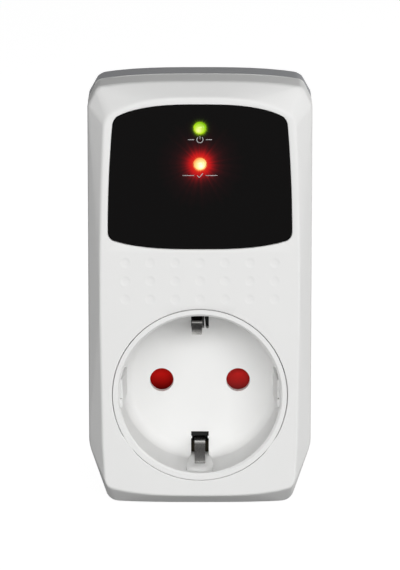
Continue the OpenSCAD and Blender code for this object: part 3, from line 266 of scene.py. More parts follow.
def spokes(points, centre, angles):
    """Where rays from a centre meet an outline."""
    d = points - centre
    a, r = np.arctan2(d[:, 1], d[:, 0]) % (2 * np.pi), np.hypot(d[:, 0], d[:, 1])
    order = np.argsort(a)
    a, r = a[order], r[order]
    a, r = np.r_[a[-1] - 2 * np.pi, a, a[0] + 2 * np.pi], np.r_[r[-1], r, r[0]]
    x, z = r * np.cos(a), r * np.sin(a)
    angles = np.mod(angles, 2 * np.pi)
    i = np.clip(np.searchsorted(a, angles, side="right") - 1, 0, len(a) - 2)
    ux, uz = np.cos(angles), np.sin(angles)
    ex, ez = x[i + 1] - x[i], z[i + 1] - z[i]
    reach = (x[i] * ez - z[i] * ex) / (ux * ez - uz * ex)
    return centre + reach[:, None] * np.column_stack([ux, uz])


# Meshes

def at_depth(flat, depth):
    """Points of width and height, moved to a depth behind the front face."""
    return np.column_stack([flat[:, 0], np.broadcast_to(depth, len(flat)), flat[:, 1]])


class Skin:
    """Grids of points in width, depth and height, in millimetres, gathered into one closed mesh."""

    def __init__(self):
        self.points, self.faces, self.count = [], [], 0

    def grid(self, points, wrap=False):
        """Joins neighbours in a grid with four-sided faces; wrap closes each row into a ring."""
        points = np.asarray(points, float)
        rows, columns = points.shape[:2]
        index = np.arange(rows * columns).reshape(rows, columns) + self.count
        if wrap:
            index = np.hstack([index, index[:, :1]])
        quads = np.stack([index[:-1, :-1], index[:-1, 1:], index[1:, 1:], index[1:, :-1]], -1)
        self.points.append(points.reshape(-1, 3))
        self.faces.append(quads.reshape(-1, 4))
        self.count += rows * columns
        return self

    def turned(self, profile, centre=(0.0, 0.0), steps=96):
        """A closed profile of radius and depth turned about a line along the depth."""
        profile = np.asarray(profile, float)
        a = np.linspace(0, 2 * np.pi, steps, endpoint=False)
        r, d = profile[:, :1], np.broadcast_to(profile[:, 1:], (len(profile), steps))
        return self.grid(np.stack([centre[0] + r * np.cos(a), d, centre[1] + r * np.sin(a)], -1), wrap=True)

    def stroke(self, path, width, near, far):
        """A flat printed line along a path of x and z, closed at both ends."""
        path = np.asarray(path, float)
        along = np.gradient(path, axis=0)
        out = np.column_stack([along[:, 1], -along[:, 0]]) / np.linalg.norm(along, axis=1, keepdims=True)
        half = np.full((len(path), 1), width / 2)
        rows = [at_depth(path + sign * half * out, depth)
                for sign, depth in ((1, near), (-1, near), (-1, far), (1, far))]
        tube = np.stack([*rows, rows[0]])
        middle = tube[:4].mean(0)
        ends = [np.repeat(middle[None, k], 5, axis=0)[:, None] for k in (0, -1)]
        return self.grid(np.concatenate([ends[0], tube, ends[1]], axis=1))

    def piece(self, name):
        """The grids as a new object, with double points joined and faces turned outwards."""
        points = np.vstack(self.points) + [0, FRONT, 0]
        data = bpy.data.meshes.new(name)
        data.from_pydata((points / 1000).tolist(), [], np.vstack(self.faces).tolist())
        form = bmesh.new()
        form.from_mesh(data)
        bmesh.ops.remove_doubles(form, verts=form.verts, dist=2e-7)
        bmesh.ops.dissolve_degenerate(form, edges=form.edges, dist=1e-8)
        bmesh.ops.recalc_face_normals(form, faces=form.faces)
        return linked(form, data)


def linked(form, data):
    """Puts an edited form into its mesh, and the mesh into the scene as an object of the same name."""
    form.to_mesh(data)
    form.free()
    obj = bpy.data.objects.new(data.name, data)
    bpy.context.scene.collection.objects.link(obj)
    return obj


def merged_copy(node, name):
    """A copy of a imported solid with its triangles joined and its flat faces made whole."""
    form = bmesh.new()
    form.from_mesh(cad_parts[node].data)
    bmesh.ops.remove_doubles(form, verts=form.verts, dist=2e-6)
    bmesh.ops.dissolve_limit(form, angle_limit=math.radians(0.6), verts=form.verts, edges=form.edges)
    return linked(form, bpy.data.meshes.new(name))


def finish_piece(obj, material, body="housing", replaces=(), edge=0.0, segments=3, angle=40):
    """Gives a piece its finish and, if asked, rounded edges, and ties it to its body and its solids."""
    obj.data.materials.clear()
    obj.data.materials.append(material)
    obj.data.shade_smooth()
    if edge:
        soft = obj.modifiers.new("edge", "BEVEL")
        soft.width, soft.segments, soft.limit_method = edge / 1000, segments, "ANGLE"
        soft.angle_limit, soft.use_clamp_overlap = math.radians(angle), True
    level = obj.modifiers.new("level", "WEIGHTED_NORMAL")
    level.weight, level.keep_sharp = 90, True
    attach(obj, body)
    if replaces:
        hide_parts(*replaces)


def reshape(obj, change):
    """Moves a piece's points, given and returned in millimetres of width, depth and height."""
    points = np.empty(3 * len(obj.data.vertices))
    obj.data.vertices.foreach_get("co", points)
    moved = change(1000 * points.reshape(-1, 3) - [0, FRONT, 0]) + [0, FRONT, 0]
    obj.data.vertices.foreach_set("co", moved.ravel() / 1000)


def carve(obj, cutters, operation="DIFFERENCE"):
    """Cuts closed shapes out of a piece, or joins them to it, and drops the shapes."""
    for cutter in cutters:
        step = obj.modifiers.new("carve", "BOOLEAN")
        step.operation, step.solver, step.object = operation, "EXACT", cutter
    bpy.context.view_layer.update()
    graph = bpy.context.evaluated_depsgraph_get()
    data = bpy.data.meshes.new_from_object(obj.evaluated_get(graph))
    obj.modifiers.clear()
    obj.data = data
    for cutter in cutters:
        bpy.data.objects.remove(cutter)
    return obj


# Finishes

def emptied(owner):
    """A material or world that has nodes of its own and none of them yet."""
    owner.use_nodes = True
    owner.node_tree.nodes.clear()
    return owner


def feed(node, inputs):
    """Sets a node's inputs, each to a value or to the socket that feeds it."""
    for key, value in inputs.items():
        if isinstance(value, bpy.types.NodeSocket):
            node.id_data.links.new(value, node.inputs[key])
        else:
            node.inputs[key].default_value = value


def add(owner, kind, inputs, stops=(), **settings):
    """Adds a node with its settings and what feeds it; stops are a colour ramp's places and colours."""
    node = owner.node_tree.nodes.new("ShaderNode" + kind)
    for key, value in settings.items():
        setattr(node, key, value)
    feed(node, inputs)
    if stops:
        elements = node.color_ramp.elements
        elements[0].position, elements[-1].position = stops[0][0], stops[-1][0]
        for at, _ in stops[1:-1]:
            elements.new(at)
        for element, (_, text) in zip(elements, stops):
            element.color = (*linear(text), 1)
    return node


def blank(name):
    """A material with a Principled shader, its place in metres and nothing else."""
    material = emptied(bpy.data.materials.get(name) or bpy.data.materials.new(name))
    shader = add(material, "BsdfPrincipled", {})
    add(material, "OutputMaterial", {"Surface": shader.outputs["BSDF"]})
    return material, shader, add(material, "TexCoord", {}).outputs["Object"]


def shade(colour, factor):
    return (*(min(1.0, c * factor) for c in colour), 1)


def mottled(material, factor, colour, vary, shader):
    """Lets a noise move the colour a little to both sides, by a Mix node's colour sockets."""
    first, second, result = 6, 7, 2
    tone = add(material, "Mix", {"Factor": factor, first: shade(colour, 1 - vary),
                                 second: shade(colour, 1 + vary)}, data_type="RGBA")
    feed(shader, {"Base Color": tone.outputs[result]})


def grained(material, marks, roughness, swing, bump, shader):
    """Lets a noise break up the gloss and give a fine relief."""
    rough = add(material, "MapRange", {"Value": marks, "To Min": roughness - swing,
                                       "To Max": roughness + swing})
    relief = add(material, "Bump", {"Height": marks, "Strength": 0.5, "Distance": bump / 1000})
    feed(shader, {"Roughness": rough.outputs["Result"], "Normal": relief.outputs["Normal"]})


def moulded(name, colour, roughness=0.45, grain=0.35, bump=0.02, vary=0.03, gloss=0.5, cloud=12):
    """A moulded plastic: spark-eroded grain, drawn as coarse as shows, over faint cloudy tone and gloss."""
    material, shader, place = blank(name)
    fine = add(material, "TexNoise", {"Vector": place, "Scale": 1000 / grain, "Detail": 3.0})
    tone = add(material, "TexNoise", {"Vector": place, "Scale": 1000 / cloud, "Detail": 2.0})
    mottled(material, tone.outputs["Fac"], colour, vary, shader)
    grained(material, fine.outputs["Fac"], roughness, swing=0.06, bump=bump, shader=shader)
    feed(shader, {"Specular IOR Level": gloss})
    return material


def over_height(material, place, low, high, least=0.0):
    """A share that rises from least to 1 between two heights in millimetres."""
    height = add(material, "SeparateXYZ", {"Vector": place}).outputs["Z"]
    return add(material, "MapRange", {"Value": height, "From Min": low / 1000, "From Max": high / 1000,
                                      "To Min": least}).outputs["Result"]


def painted_shade_below(material, low, high, least):
    """Paints shade on a plastic: its colour darkens towards its lower edge, between two heights in
    millimetres.
    """
    shader = next(node for node in material.node_tree.nodes if node.type == "BSDF_PRINCIPLED")
    tone = shader.inputs["Base Color"].links[0].from_socket
    place = add(material, "TexCoord", {}).outputs["Object"]
    light = over_height(material, place, low, high, least)
    both = add(material, "VectorMath", {0: tone, "Scale": light}, operation="SCALE")
    feed(shader, {"Base Color": both.outputs["Vector"]})
    return material


def working_marks(material, place, stretch=(1, 1, 1), grain=0.2):
    """Rolling or drawing marks: a noise as fine as the grain in millimetres, stretched along the work."""
    along = add(material, "Mapping", {"Vector": place, "Scale": tuple(s * 1000 / grain for s in stretch)})
    noise = add(material, "TexNoise", {"Vector": along.outputs["Vector"], "Scale": 1.0, "Detail": 4.0})
    return noise.outputs["Fac"]


def metal(name, colour, roughness=0.3, stretch=(1, 1, 1), bump=0.004, vary=0.08):
    """A metal: the marks of its working in tone, gloss and relief."""
    material, shader, place = blank(name)
    marks = working_marks(material, place, stretch)
    mottled(material, marks, colour, vary, shader)
    grained(material, marks, roughness, swing=0.08, bump=bump, shader=shader)
    feed(shader, {"Metallic": 1.0})
    return material


def steel_painted_light(name, reach, stops):
    """Spring steel with a painted highlight along its crest and painted shade on its flanks, by height."""
    material, shader, place = blank(name)
    marks = working_marks(material, place, stretch=(8, 1, 1))
    grained(material, marks, roughness=0.25, swing=0.08, bump=0.004, shader=shader)
    tone = add(material, "ValToRGB", {"Fac": over_height(material, place, -reach, reach)},
               [(0.5 + z / reach / 2, text) for z, text in stops])
    feed(shader, {"Base Color": tone.outputs["Color"], "Metallic": 1.0})
    return material


def away_from(material, place, x, z, full, streaks=0.0):
    """The distance from a point of the front as a share of a full one, with faint streaks like rays."""
    split = add(material, "SeparateXYZ", {"Vector": place})
    flat = add(material, "CombineXYZ", {"X": split.outputs["X"], "Z": split.outputs["Z"]})
    away = add(material, "VectorMath", {0: flat.outputs["Vector"], 1: (x / 1000, 0, z / 1000)},
               operation="SUBTRACT").outputs["Vector"]
    far = add(material, "VectorMath", {0: away}, operation="LENGTH")
    share = add(material, "MapRange", {"Value": far.outputs["Value"], "From Max": full / 1000})
    if not streaks:
        return share.outputs["Result"]
    ray = add(material, "VectorMath", {0: away}, operation="NORMALIZE")
    comb = add(material, "TexNoise", {"Vector": ray.outputs["Vector"], "Scale": 7.0, "Detail": 2.0})
    swing = add(material, "MapRange", {"Value": comb.outputs["Fac"], "From Min": 0.3, "From Max": 0.7,
                                       "To Min": 1 + streaks, "To Max": 1 - streaks})
    return add(material, "Math", {0: share.outputs["Result"], 1: swing.outputs["Result"]},
               operation="MULTIPLY").outputs["Value"]


def smoked_acrylic(name, colour, glows, reach=12, streaks=0.1, cloud=25):
    """Polished smoked acrylic: near black, with a painted glow round each lamp that stands for the light
    scattering in it.
    """
    material, shader, place = blank(name)
    haze = add(material, "TexNoise", {"Vector": place, "Scale": 1000 / cloud, "Detail": 2.0})
    rough = add(material, "MapRange", {"Value": haze.outputs["Fac"], "To Min": 0.05, "To Max": 0.12})
    halos = [add(material, "ValToRGB", {"Fac": away_from(material, place, 0, z, reach, streaks)}, stops)
             for z, stops in glows]
    total = add(material, "VectorMath", {i: halo.outputs["Color"] for i, halo in enumerate(halos)})
    feed(shader, {"Base Color": shade(colour, 1), "Roughness": rough.outputs["Result"], "IOR": 1.49,
                  "Specular IOR Level": 0.04, "Emission Color": total.outputs["Vector"],
                  "Emission Strength": 1.0})
    return material


def lit_lens(name, spot, stops, reach=2.4):
    """A lit epoxy lens: a pale spot where the chip shines straight out, and fuller colour towards its rim."""
    material, shader, place = blank(name)
    tone = add(material, "ValToRGB", {"Fac": away_from(material, place, *spot, reach)}, stops)
    feed(shader, {"Base Color": (0.01, 0.01, 0.01, 1), "Roughness": 0.15,
                  "Emission Color": tone.outputs["Color"], "Emission Strength": 1.0})
    return material


# What a user sees in the sidebar

def values(group):
    """A group's sizes in millimetres."""
    return SimpleNamespace(**{k: 1000 * getattr(group, k) for k in type(group).__annotations__})


class PROTECTOR_OT_front_cover(bpy.types.Operator):
    """Builds the front cover: bevelled shell, window ledge, round opening and dimple field"""
    bl_idname = "protector.front_cover"
    bl_label = "Front cover"

    def execute(self, context):
        c, w = values(context.scene.protector_case), values(context.scene.protector_window)
        d, s = values(context.scene.protector_dimples), values(context.scene.protector_socket)
        # the dimple field's rows lie between the round opening and the window, and more points beside both
        over_hole, under_window, apart, rows = 1.2, 1.0, 0.5, 70
        side_low, side_high, side_rows = -12, 66, 90
        window_foot = c.crown - c.bevel_crown - w.rim - w.height
        heights = np.linspace(s.hole + over_hole, window_foot - under_window, rows)
        beside = np.r_[np.linspace(side_low, heights[0] - apart, rows), heights,
                       np.linspace(heights[-1] + apart, side_high, side_rows)]
        case, face = case_outline(c), levelled(face_outline(c), beside)
        at_case, at_face = paired(case, face)
        skin = Skin()

        def right_point(height, penalty=1e3):
            """The number of the face outline's point on the right at exactly this height."""
            away = np.hypot(face[:, 0] - c.width, face[:, 1] - height)
            return int(np.argmin(away + penalty * (face[:, 1] != height)))

        def case_row(by, depth):
            """The case's outline drawn in by a distance and paired with the face's points, at a depth."""
            return at_depth(inset(case, by)[at_case], depth)

        def face_row(by, depth):
            return at_depth(inset(face, by)[at_face], depth)

        def bend(a, b, turn, steps=6):
            """A quadratic curve from a to b that leaves and arrives towards the turn."""
            t = np.linspace(0, 1, steps + 1)[:, None, None]
            return (1 - t) ** 2 * a + 2 * t * (1 - t) * turn + t ** 2 * b

        # the two rounded edges of the slope end at these shares of it
        side_share, face_share = 0.14, 0.9
        side, slope = case_row(c.bead, c.bevel_depth), face_row(0, 0)
        upper = bend(case_row(c.bead, c.bevel_depth + c.side_edge), side + (slope - side) * side_share,
                     side)
        lower = bend(side + (slope - side) * face_share, face_row(c.face_edge, 0), slope)
        # the seam's lip and bead in section: how far in from the side, and how far before the seam
        lip = ((0.2, 0), (0.05, 0.05), (0, 0.2), (0, 0.6), (c.bead, 0.64))
        rim = [case_row(c.wall, c.seam)] + [case_row(by, c.seam - before) for by, before in lip]
        skin.grid([*rim, *upper, *lower], wrap=True)

        def dimple_depth(x, z):
            """Shallow dimples with a crisp edge: the depth falls from the nearest centre as 1 - r3."""
            i = np.clip(np.round(x / d.pitch_x), -3, 3)
            j = np.clip(np.round((z - d.low) / d.pitch_z), 0, 2)
            off = np.hypot(x - i * d.pitch_x, z - d.low - j * d.pitch_z) / (d.wide / 2)
            return d.deep * np.clip(1 - off ** 3, 0, None)

        def zones(ring, depth, opening, hole, dimpled):
            """The flat face in three parts: round the window, the dimple field, and round the socket."""
            low, high = right_point(heights[0]), right_point(heights[-1])
            right, last = ring[low:high + 1], len(ring) - 1
            x, z = np.outer(right[:, 0], np.linspace(-1, 1, ACROSS)), np.repeat(right[:, 1:], ACROSS, 1)
            band = np.stack([x, depth + (dimple_depth(x, z) if dimpled else 0 * x), z], -1)
            skin.grid(band)
            outer = np.vstack([band[-1], at_depth(ring[high + 1:last - high], depth)])
            angles = np.arctan2(outer[:, 2] - WINDOW_MIDDLE[1], outer[:, 0])
            skin.grid([outer, at_depth(spokes(opening, WINDOW_MIDDLE, angles), depth)], wrap=True)
            foot = np.vstack([ring[last - low + 1:], ring[:low]])
            under = np.vstack([band[0][::-1], at_depth(foot, depth)])
            turn = np.arctan2(under[:, 2], under[:, 0])
            circle = np.column_stack([np.cos(turn), np.sin(turn)])
            skin.grid([under, at_depth(hole * circle, depth)], wrap=True)
            return angles, circle

        # the openings' rounded edges in section: how far out from the opening, and the depth behind the face
        window_edge, hole_edge = ((0.2, 0), (0.05, 0.06), (0, 0.22)), ((0.25, 0), (0.07, 0.07), (0, 0.25))
        window = window_outline(c, w)
        angles, circle = zones(inset(face, c.face_edge), 0.0, inset(window, -w.gap - window_edge[0][0]),
                               s.hole + hole_edge[0][0], True)
        zones(inset(face, c.wall / 2), c.face_wall, inset(window, w.ledge), s.hole, False)
        steps = [(-w.gap - out, depth) for out, depth in window_edge]
        steps += [(-w.gap, w.pocket), (w.ledge, w.pocket), (w.ledge, c.face_wall)]
        skin.grid([at_depth(spokes(inset(window, by), WINDOW_MIDDLE, angles), depth)
                   for by, depth in steps], wrap=True)
        steps = [(s.hole + out, depth) for out, depth in hole_edge] + [(s.hole, c.face_wall)]
        skin.grid([at_depth(circle * r, depth) for r, depth in steps], wrap=True)
        skin.grid([face_row(c.wall / 2, c.face_wall), case_row(c.wall, c.bevel_depth + c.wall / 2),
                   case_row(c.wall, c.seam)], wrap=True)
        # the four screw posts: width, height and the depth where they leave the slope
        bore, post, back = 1.27, 2.9, c.seam - 0.4
        for x, z, start in ((21.8, 69.5, 6.6), (19.5, -21.0, 5.2)):
            for sign in (-1, 1):
                skin.turned([(bore, start), (post, start), (post, back), (bore, back), (bore, start)],
                            (sign * x, z), steps=40)
        # the fine grain takes the gloss off, so the white looks even and matt
        white = moulded("moulded white ABS, fine spark-eroded grain", context.scene.protector_finishes.shell,
                        roughness=0.6, grain=0.4, bump=0.008, vary=0.01, gloss=0.06)
        finish_piece(skin.piece("front_cover_shell"), white, replaces=("front_cover",))
        return {"FINISHED"}


class PROTECTOR_OT_rear_cover(bpy.types.Operator):
    """Dresses the rear cover and its plug body with softened edges"""
    bl_idname = "protector.rear_cover"
    bl_label = "Rear cover"

    def execute(self, context):
        c, f = values(context.scene.protector_case), context.scene.protector_finishes
        obj = carve(merged_copy("rear_cover", "rear_cover_shell"), [merged_copy("plug_body", "cut")], "UNION")
        # heights of the solid's sides, from the foot up, and the heights that they move to
        solid_hip, still_low, still_high, solid_shoulder, brow = -12.4, 0, 50, 9, 1.6
        top = HIGH[2]
        before = [-c.sole, solid_hip, still_low, still_high, top - solid_shoulder, top - brow, top]
        after = [-c.sole, -c.hip, still_low, still_high, c.crown - c.shoulder, c.crown - brow, c.crown]
        side_zone, top_zone, fade = 4, 4, 2

        def same_sides(points):
            """The crown is as high as the front cover's, and the sides slope in from the same heights."""
            x, _, z = points.T
            lowered = z - (top - c.crown) * np.clip((z - top + top_zone) / fade, 0, 1)
            beside = np.abs(x) > c.width / 2 - side_zone
            points[:, 2] = np.where(beside, np.interp(z, before, after), lowered)
            return points

        reshape(obj, same_sides)
        # a slightly coarser grain, which leaves a soft sheen on the grey
        grey = moulded("moulded grey ABS, spark-eroded grain", f.rear, roughness=0.55, grain=0.45, bump=0.015,
                       vary=0.02, gloss=0.1)
        finish_piece(obj, grey, replaces=("rear_cover", "plug_body"), edge=0.35)
        return {"FINISHED"}


def lamp_height(node):
    """The height of a lamp's axis in millimetres."""
    low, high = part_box(node)
    return 500 * (low.z + high.z)


class PROTECTOR_OT_window(bpy.types.Operator):
    """Builds the smoked window with its two lamp holes and the small printed marks"""
    bl_idname = "protector.window"
    bl_label = "Display window"

    def execute(self, context):
        c, w = values(context.scene.protector_case), values(context.scene.protector_window)
        f = context.scene.protector_finishes
        angles = np.linspace(0, 2 * np.pi, 1200, endpoint=False)
        edge = window_outline(c, w)

        def ring(by, depth, share=1.0):
            """The window's outline drawn in by a distance and shrunk to a share, at a depth."""
            flat = spokes(inset(edge, by), WINDOW_MIDDLE, angles)
            return at_depth(WINDOW_MIDDLE + (flat - WINDOW_MIDDLE) * share, depth)

        # the polished edge in section: how far in from the edge, and how far behind the window's front
        soft, back = ((0.16, 0), (0.05, 0.04), (0, 0.16)), w.sink + w.thick
        skin = Skin().grid([ring(soft[0][0], w.sink, 0), *(ring(by, w.sink + depth) for by, depth in soft),
                            ring(0, back), ring(0, back, 0)], wrap=True)
        obj = skin.piece("display_window_pane")
        hole, ahead, behind = 1.6, -1, 3
        lamps = [lamp_height(node) for node in ("power_light", "status_light")]
        section = [(0, ahead), (hole, ahead), (hole, behind), (0, behind)]
        carve(obj, [Skin().turned(section, (0, z), steps=64).piece("cut") for z in lamps])
        # near black and mirror-smooth, with a painted glow of each lamp's light fading round its hole
        glows = [[(0, "7C9A10"), (0.13, "5E7A08"), (0.165, "1C2A00"), (0.21, "050800"), (0.27, "000000")],
                 [(0, "F79F5D"), (0.12, "F0783C"), (0.145, "D83A1E"), (0.17, "CE1A12"), (0.21, "C01012"),
                  (0.25, "980B10"), (0.29, "74090E"), (0.33, "55070B"), (0.4, "330508"), (0.5, "1C0305"),
                  (0.65, "0B0102"), (0.9, "000000")]]
        smoked = smoked_acrylic("polished smoked acrylic", f.window, list(zip(lamps, glows)))
        finish_piece(obj, smoked, replaces=("display_window",))
        flat = 0.9999  # faces that point this straight to the front or back stay flat
        normals = np.empty(3 * len(obj.data.polygons))
        obj.data.polygons.foreach_get("normal", normals)
        obj.data.polygons.foreach_set("use_smooth", np.abs(normals[1::3]) < flat)

        marks = Skin()
        below, line, near, far = 2.75, 0.19, w.sink - 0.02, w.sink + 0.03
        first, second = (z - below for z in lamps)

        def draw(path):
            marks.stroke(path, line, near, far)

        # a ring that is open at its top, with a bar in the gap
        radius, turn = 0.75, np.radians(np.linspace(130, 410, 40))
        draw(np.column_stack([radius * np.cos(turn), first + radius * np.sin(turn)]))
        draw([(0, first + up) for up in (0.15, 0.5, 0.85)])
        # a tick, as places across and up at shares of its length
        shares, across, up = (0, 0.35, 1), (-0.65, -0.15, 0.75), (0, -0.5, 0.55)
        t = np.linspace(0, 1, 24)
        draw(np.column_stack([np.interp(t, shares, across), second + np.interp(t, shares, up)]))
        start = 1.4
        for z, long in ((first, 1.5), (second, 2.8)):
            for sign in (-1, 1):
                draw([(sign * start, z), (sign * (start + long), z)])
        # flat and dull, a thin film that catches no light
        ink = moulded("screen-printed ink", f.print_ink, roughness=0.6, grain=0.3, bump=0.002, vary=0.05)
        finish_piece(marks.piece("window_print"), ink)
        return {"FINISHED"}


class PROTECTOR_OT_socket(bpy.types.Operator):
    """Dresses the socket insert and the earth clips with softened edges"""
    bl_idname = "protector.socket"
    bl_label = "Socket insert"

    def execute(self, context):
        s, f = values(context.scene.protector_socket), context.scene.protector_finishes
        obj = carve(merged_copy("socket_insert", "socket_insert_shell"), [merged_copy("socket_floor", "cut")],
                    "UNION")
        # the guides' zone, and how far the solid ones stand out
        guide_half, guide_from, guide_depth, solid_rise, off_wall = 3.8, 17.8, 14, 1.6, 0.05
        # the rib beside the upper clip: both its sides, and how far each moves to the left
        rib_sides, rib_near, rib_low, rib_depth = ((1.5, 0.45), (0.95, 0.25)), 0.06, 15, 19.8

        def softer(points):
            """Side guides that rise less at their front end, and a thinner rib beside the upper clip."""
            x, depth, z = points.T
            out = np.abs(x)
            guide = (np.abs(z) < guide_half) & (out > guide_from) & (out < s.well - off_wall)
            guide &= depth < guide_depth
            points[guide, 0] = np.sign(x[guide]) * (s.well - (s.well - out[guide]) * s.rise / solid_rise)
            for side, by in rib_sides:
                rib = (np.abs(x - side) < rib_near) & (z > rib_low) & (depth < rib_depth)
                points[rib, 0] -= by
            return points

        reshape(obj, softer)
        # polished in the mould, so a faint sheen lies on the white
        white = moulded("moulded white polycarbonate, polished", f.insert, roughness=0.45, grain=0.8,
                        bump=0.004, vary=0.01, gloss=0.1)
        finish_piece(obj, white, replaces=("socket_insert", "socket_floor"), edge=s.edge)
        # a groove's ramp in section: half its width, its depth and its height at each corner
        section = ((2.35, 19.9, 19.0), (3.3, 7.5, 19.3), (3.5, 4.3, 22.1), (2.35, 19.9, 22.1))
        ramps = Skin()
        for sign in (-1, 1):
            ends = [np.array([(side * x, depth, sign * z) for x, depth, z in section]) for side in (-1, 1)]
            caps = [np.broadcast_to(end.mean(0), end.shape) for end in ends]
            ramps.grid([caps[0], *ends, caps[1]], wrap=True)
        finish_piece(ramps.piece("groove_ramps"), white)
        # painted highlight at the crest and the tips, painted shade in dark grey on the flanks beside it
        steel = steel_painted_light("rolled spring steel, painted highlight and shade", 17.8, [
            (-17.8, "AEAEAC"), (-17.2, "777674"), (-16.5, "616060"), (-15, "565554"), (-13.9, "696866"),
            (-13.6, "BBBAB8"), (-13.2, "E2E1DF"), (13.2, "FFFFFD"), (14.2, "ECEBE9"), (14.9, "B2B1AF"),
            (15.5, "616060"), (15.9, "515050"), (17.2, "424241"), (17.8, "B4B3B1")])
        lean, root, fade = 0.2, 22, 3

        def leaning(points):
            """The upper clip stands a little to the left in front of the floor, and its root stays."""
            points[:, 0] -= lean * np.clip((root - points[:, 1]) / fade, 0, 1)
            return points

        for side in ("top", "bottom"):
            strip = merged_copy("earth_clip_" + side, "earth_clip_" + side + "_strip")
            if side == "top":
                reshape(strip, leaning)
            finish_piece(strip, steel, "clip_" + side, ("earth_clip_" + side,), s.clip_edge)
        return {"FINISHED"}


# The lamps: solid, finish, slot, the bright spot's place beside the axis, and the colours from it outwards
LAMPS = (
    # a yellow-green glow, palest over the chip
    ("power_light", "lit green epoxy lens", "light_green", (-0.35, -0.45),
     [(0, "F2FAA0"), (0.18, "E6F57A"), (0.34, "C8EA3C"), (0.5, "B4E01E"), (0.75, "8CC80C"), (1, "5A9000")]),
    # so bright that its middle is nearly white, and orange to red at the rim
    ("status_light", "lit red epoxy lens", "light_red", (0.3, -0.4),
     [(0, "FFFFF4"), (0.2, "FFFDC8"), (0.4, "FFEF9A"), (0.65, "FFCE78"), (0.8, "FF9A50"), (1, "E04020")]),
)


class PROTECTOR_OT_lamps(bpy.types.Operator):
    """Builds the two lit lamps with domed lenses"""
    bl_idname = "protector.lamps"
    bl_label = "Lamps"

    def execute(self, context):
        radius, tip, flange, shoulder, back = 1.5, -0.4, 1.9, 4.0, 5.0
        leg_at, leg, leg_from, leg_to = 1.27, 0.25, 4.9, 10.1
        a = np.linspace(0, np.pi / 2, 20)
        dome = np.column_stack([radius * np.sin(a), tip + radius * (1 - np.cos(a))])
        body = np.vstack([dome, [(radius, shoulder), (flange, shoulder), (flange, back), (0, back)]])
        for node, name, slot, spot, stops in LAMPS:
            z = lamp_height(node)
            skin = Skin().turned(body, (0, z), steps=64)
            for x in (-leg_at, leg_at):
                skin.turned([(0, leg_from), (leg, leg_from), (leg, leg_to), (0, leg_to)], (x, z), steps=12)
            finish_piece(skin.piece(node + "_lens"), lit_lens(name, (spot[0], z + spot[1]), stops),
                         replaces=(node,))
        return {"FINISHED"}


# The carried-over solids: finish, colour, roughness, what else it sets, slot, and the solids
METALS = {
    # blue-grey and softly bright
    "zinc plated steel, pan head": (
        "B9BDC2", 0.35, {}, "steel", "case_screws insert_screws plate_screws board_screws"),
    # bright, with fine rings from the wheel
    "ground steel pin": ("C4C6C9", 0.22, {"stretch": (1, 6, 6)}, "steel", "shutter_pivot earth_rivets"),
    # dull grey
    "soft iron, annealed": ("8E9094", 0.45, {}, "steel", "relay_core relay_yoke relay_armature"),
    # darker grey with streaks along the strip
    "rolled spring steel": ("8C8984", 0.28, {"stretch": (8, 1, 1)}, "spring_steel", "shutter_spring"),
    # warm and mirror-bright, with faint lines along the pin
    "nickel plated brass, drawn": ("CFCBC2", 0.2, {"stretch": (6, 0.6, 6)}, "nickel",
                                   "plug_pin_live plug_pin_neutral plug_earth_top plug_earth_bottom"),
    # silvery and a little cloudy
    "tinned brass": ("C9C8C2", 0.35, {}, "nickel", "terminal_tabs"),
    # nearly black: painted shade, so the slots look deep
    "tarnished brass": ("2E2A22", 0.5, {}, "brass", "earth_bracket"),
    # yellow and evenly bright
    "stamped brass": ("D9B25C", 0.3, {}, "brass", "live_contact neutral_contact live_busbar neutral_busbar"),
    # red-brown, with fine rings of wire
    "enamelled copper winding": ("B5602F", 0.35, {"stretch": (3, 0.4, 0.4)}, "copper", "relay_coil"),
    # pinkish and bright
    "phosphor bronze leaf": ("C98A5B", 0.3, {}, "copper", "relay_contact_spring relay_fixed_contact"),
}
PLASTICS = {
    # warm and satin
    "moulded cream polyamide": ("DCD3BA", 0.5, {"grain": 0.5}, "carrier", "contact_carrier relay_bobbin"),
    # nearly black: painted shade, so the slots look deep
    "moulded charcoal polypropylene": ("232324", 0.5, {}, "white_inner", "shutter_plate"),
    # flat and dull
    "adhesive film": ("3A3A3A", 0.6, {"grain": 0.3}, "tape", "window_tape"),
    # glossy green, clouded by the glass cloth under it
    "green solder mask on glass laminate": (
        "1E6B35", 0.3, {"grain": 0.8, "vary": 0.1}, "board", "circuit_board"),
    # black with a satin sheen
    "moulded black polyamide": ("202022", 0.5, {}, "black_plastic", "light_holder relay_base"),
    # deep blue and fairly glossy
    "moulded blue polyester": ("1F3F80", 0.35, {}, "relay_blue", "relay_cover"),
    # uneven and waxy, as it ran off the dip
    "dipped blue epoxy": (
        "24508F", 0.4, {"grain": 1.5, "bump": 0.05, "vary": 0.08}, "varistor_blue", "varistor"),
    # smooth and glassy white
    "glazed ceramic tube": ("E6E2D8", 0.2, {"grain": 2.0, "bump": 0.01}, "fuse_white", "thermal_fuse"),
    # even yellow with a satin sheen
    "potted yellow box": ("D8A92B", 0.45, {}, "film_yellow", "film_capacitor"),
    # tight and glossy, with slow ripples
    "shrunk black sleeve": (
        "17181C", 0.25, {"grain": 1.2, "bump": 0.01}, "can_sleeve", "bulk_capacitor small_capacitor"),
    # dry and matt
    "moulded black epoxy": ("1B1B1C", 0.6, {"grain": 0.25}, "black_plastic",
                            "rectifier controller_chip regulator relay_transistor chip_resistors"),
    # pale blue with a soft, lumpy gloss
    "lacquered ceramic": ("8FB3C4", 0.35, {"grain": 0.9, "bump": 0.03}, "resistor_blue", "dropper_resistor"),
    # supple and softly glossy, as all three wires
    "brown PVC insulation": ("5A3018", 0.4, {"grain": 1.0}, "wire_brown", "live_in_wire"),
    "black PVC insulation": ("161616", 0.4, {"grain": 1.0}, "wire_black", "live_out_wire"),
    "blue PVC insulation": ("23509A", 0.4, {"grain": 1.0}, "wire_blue", "neutral_wire"),
}


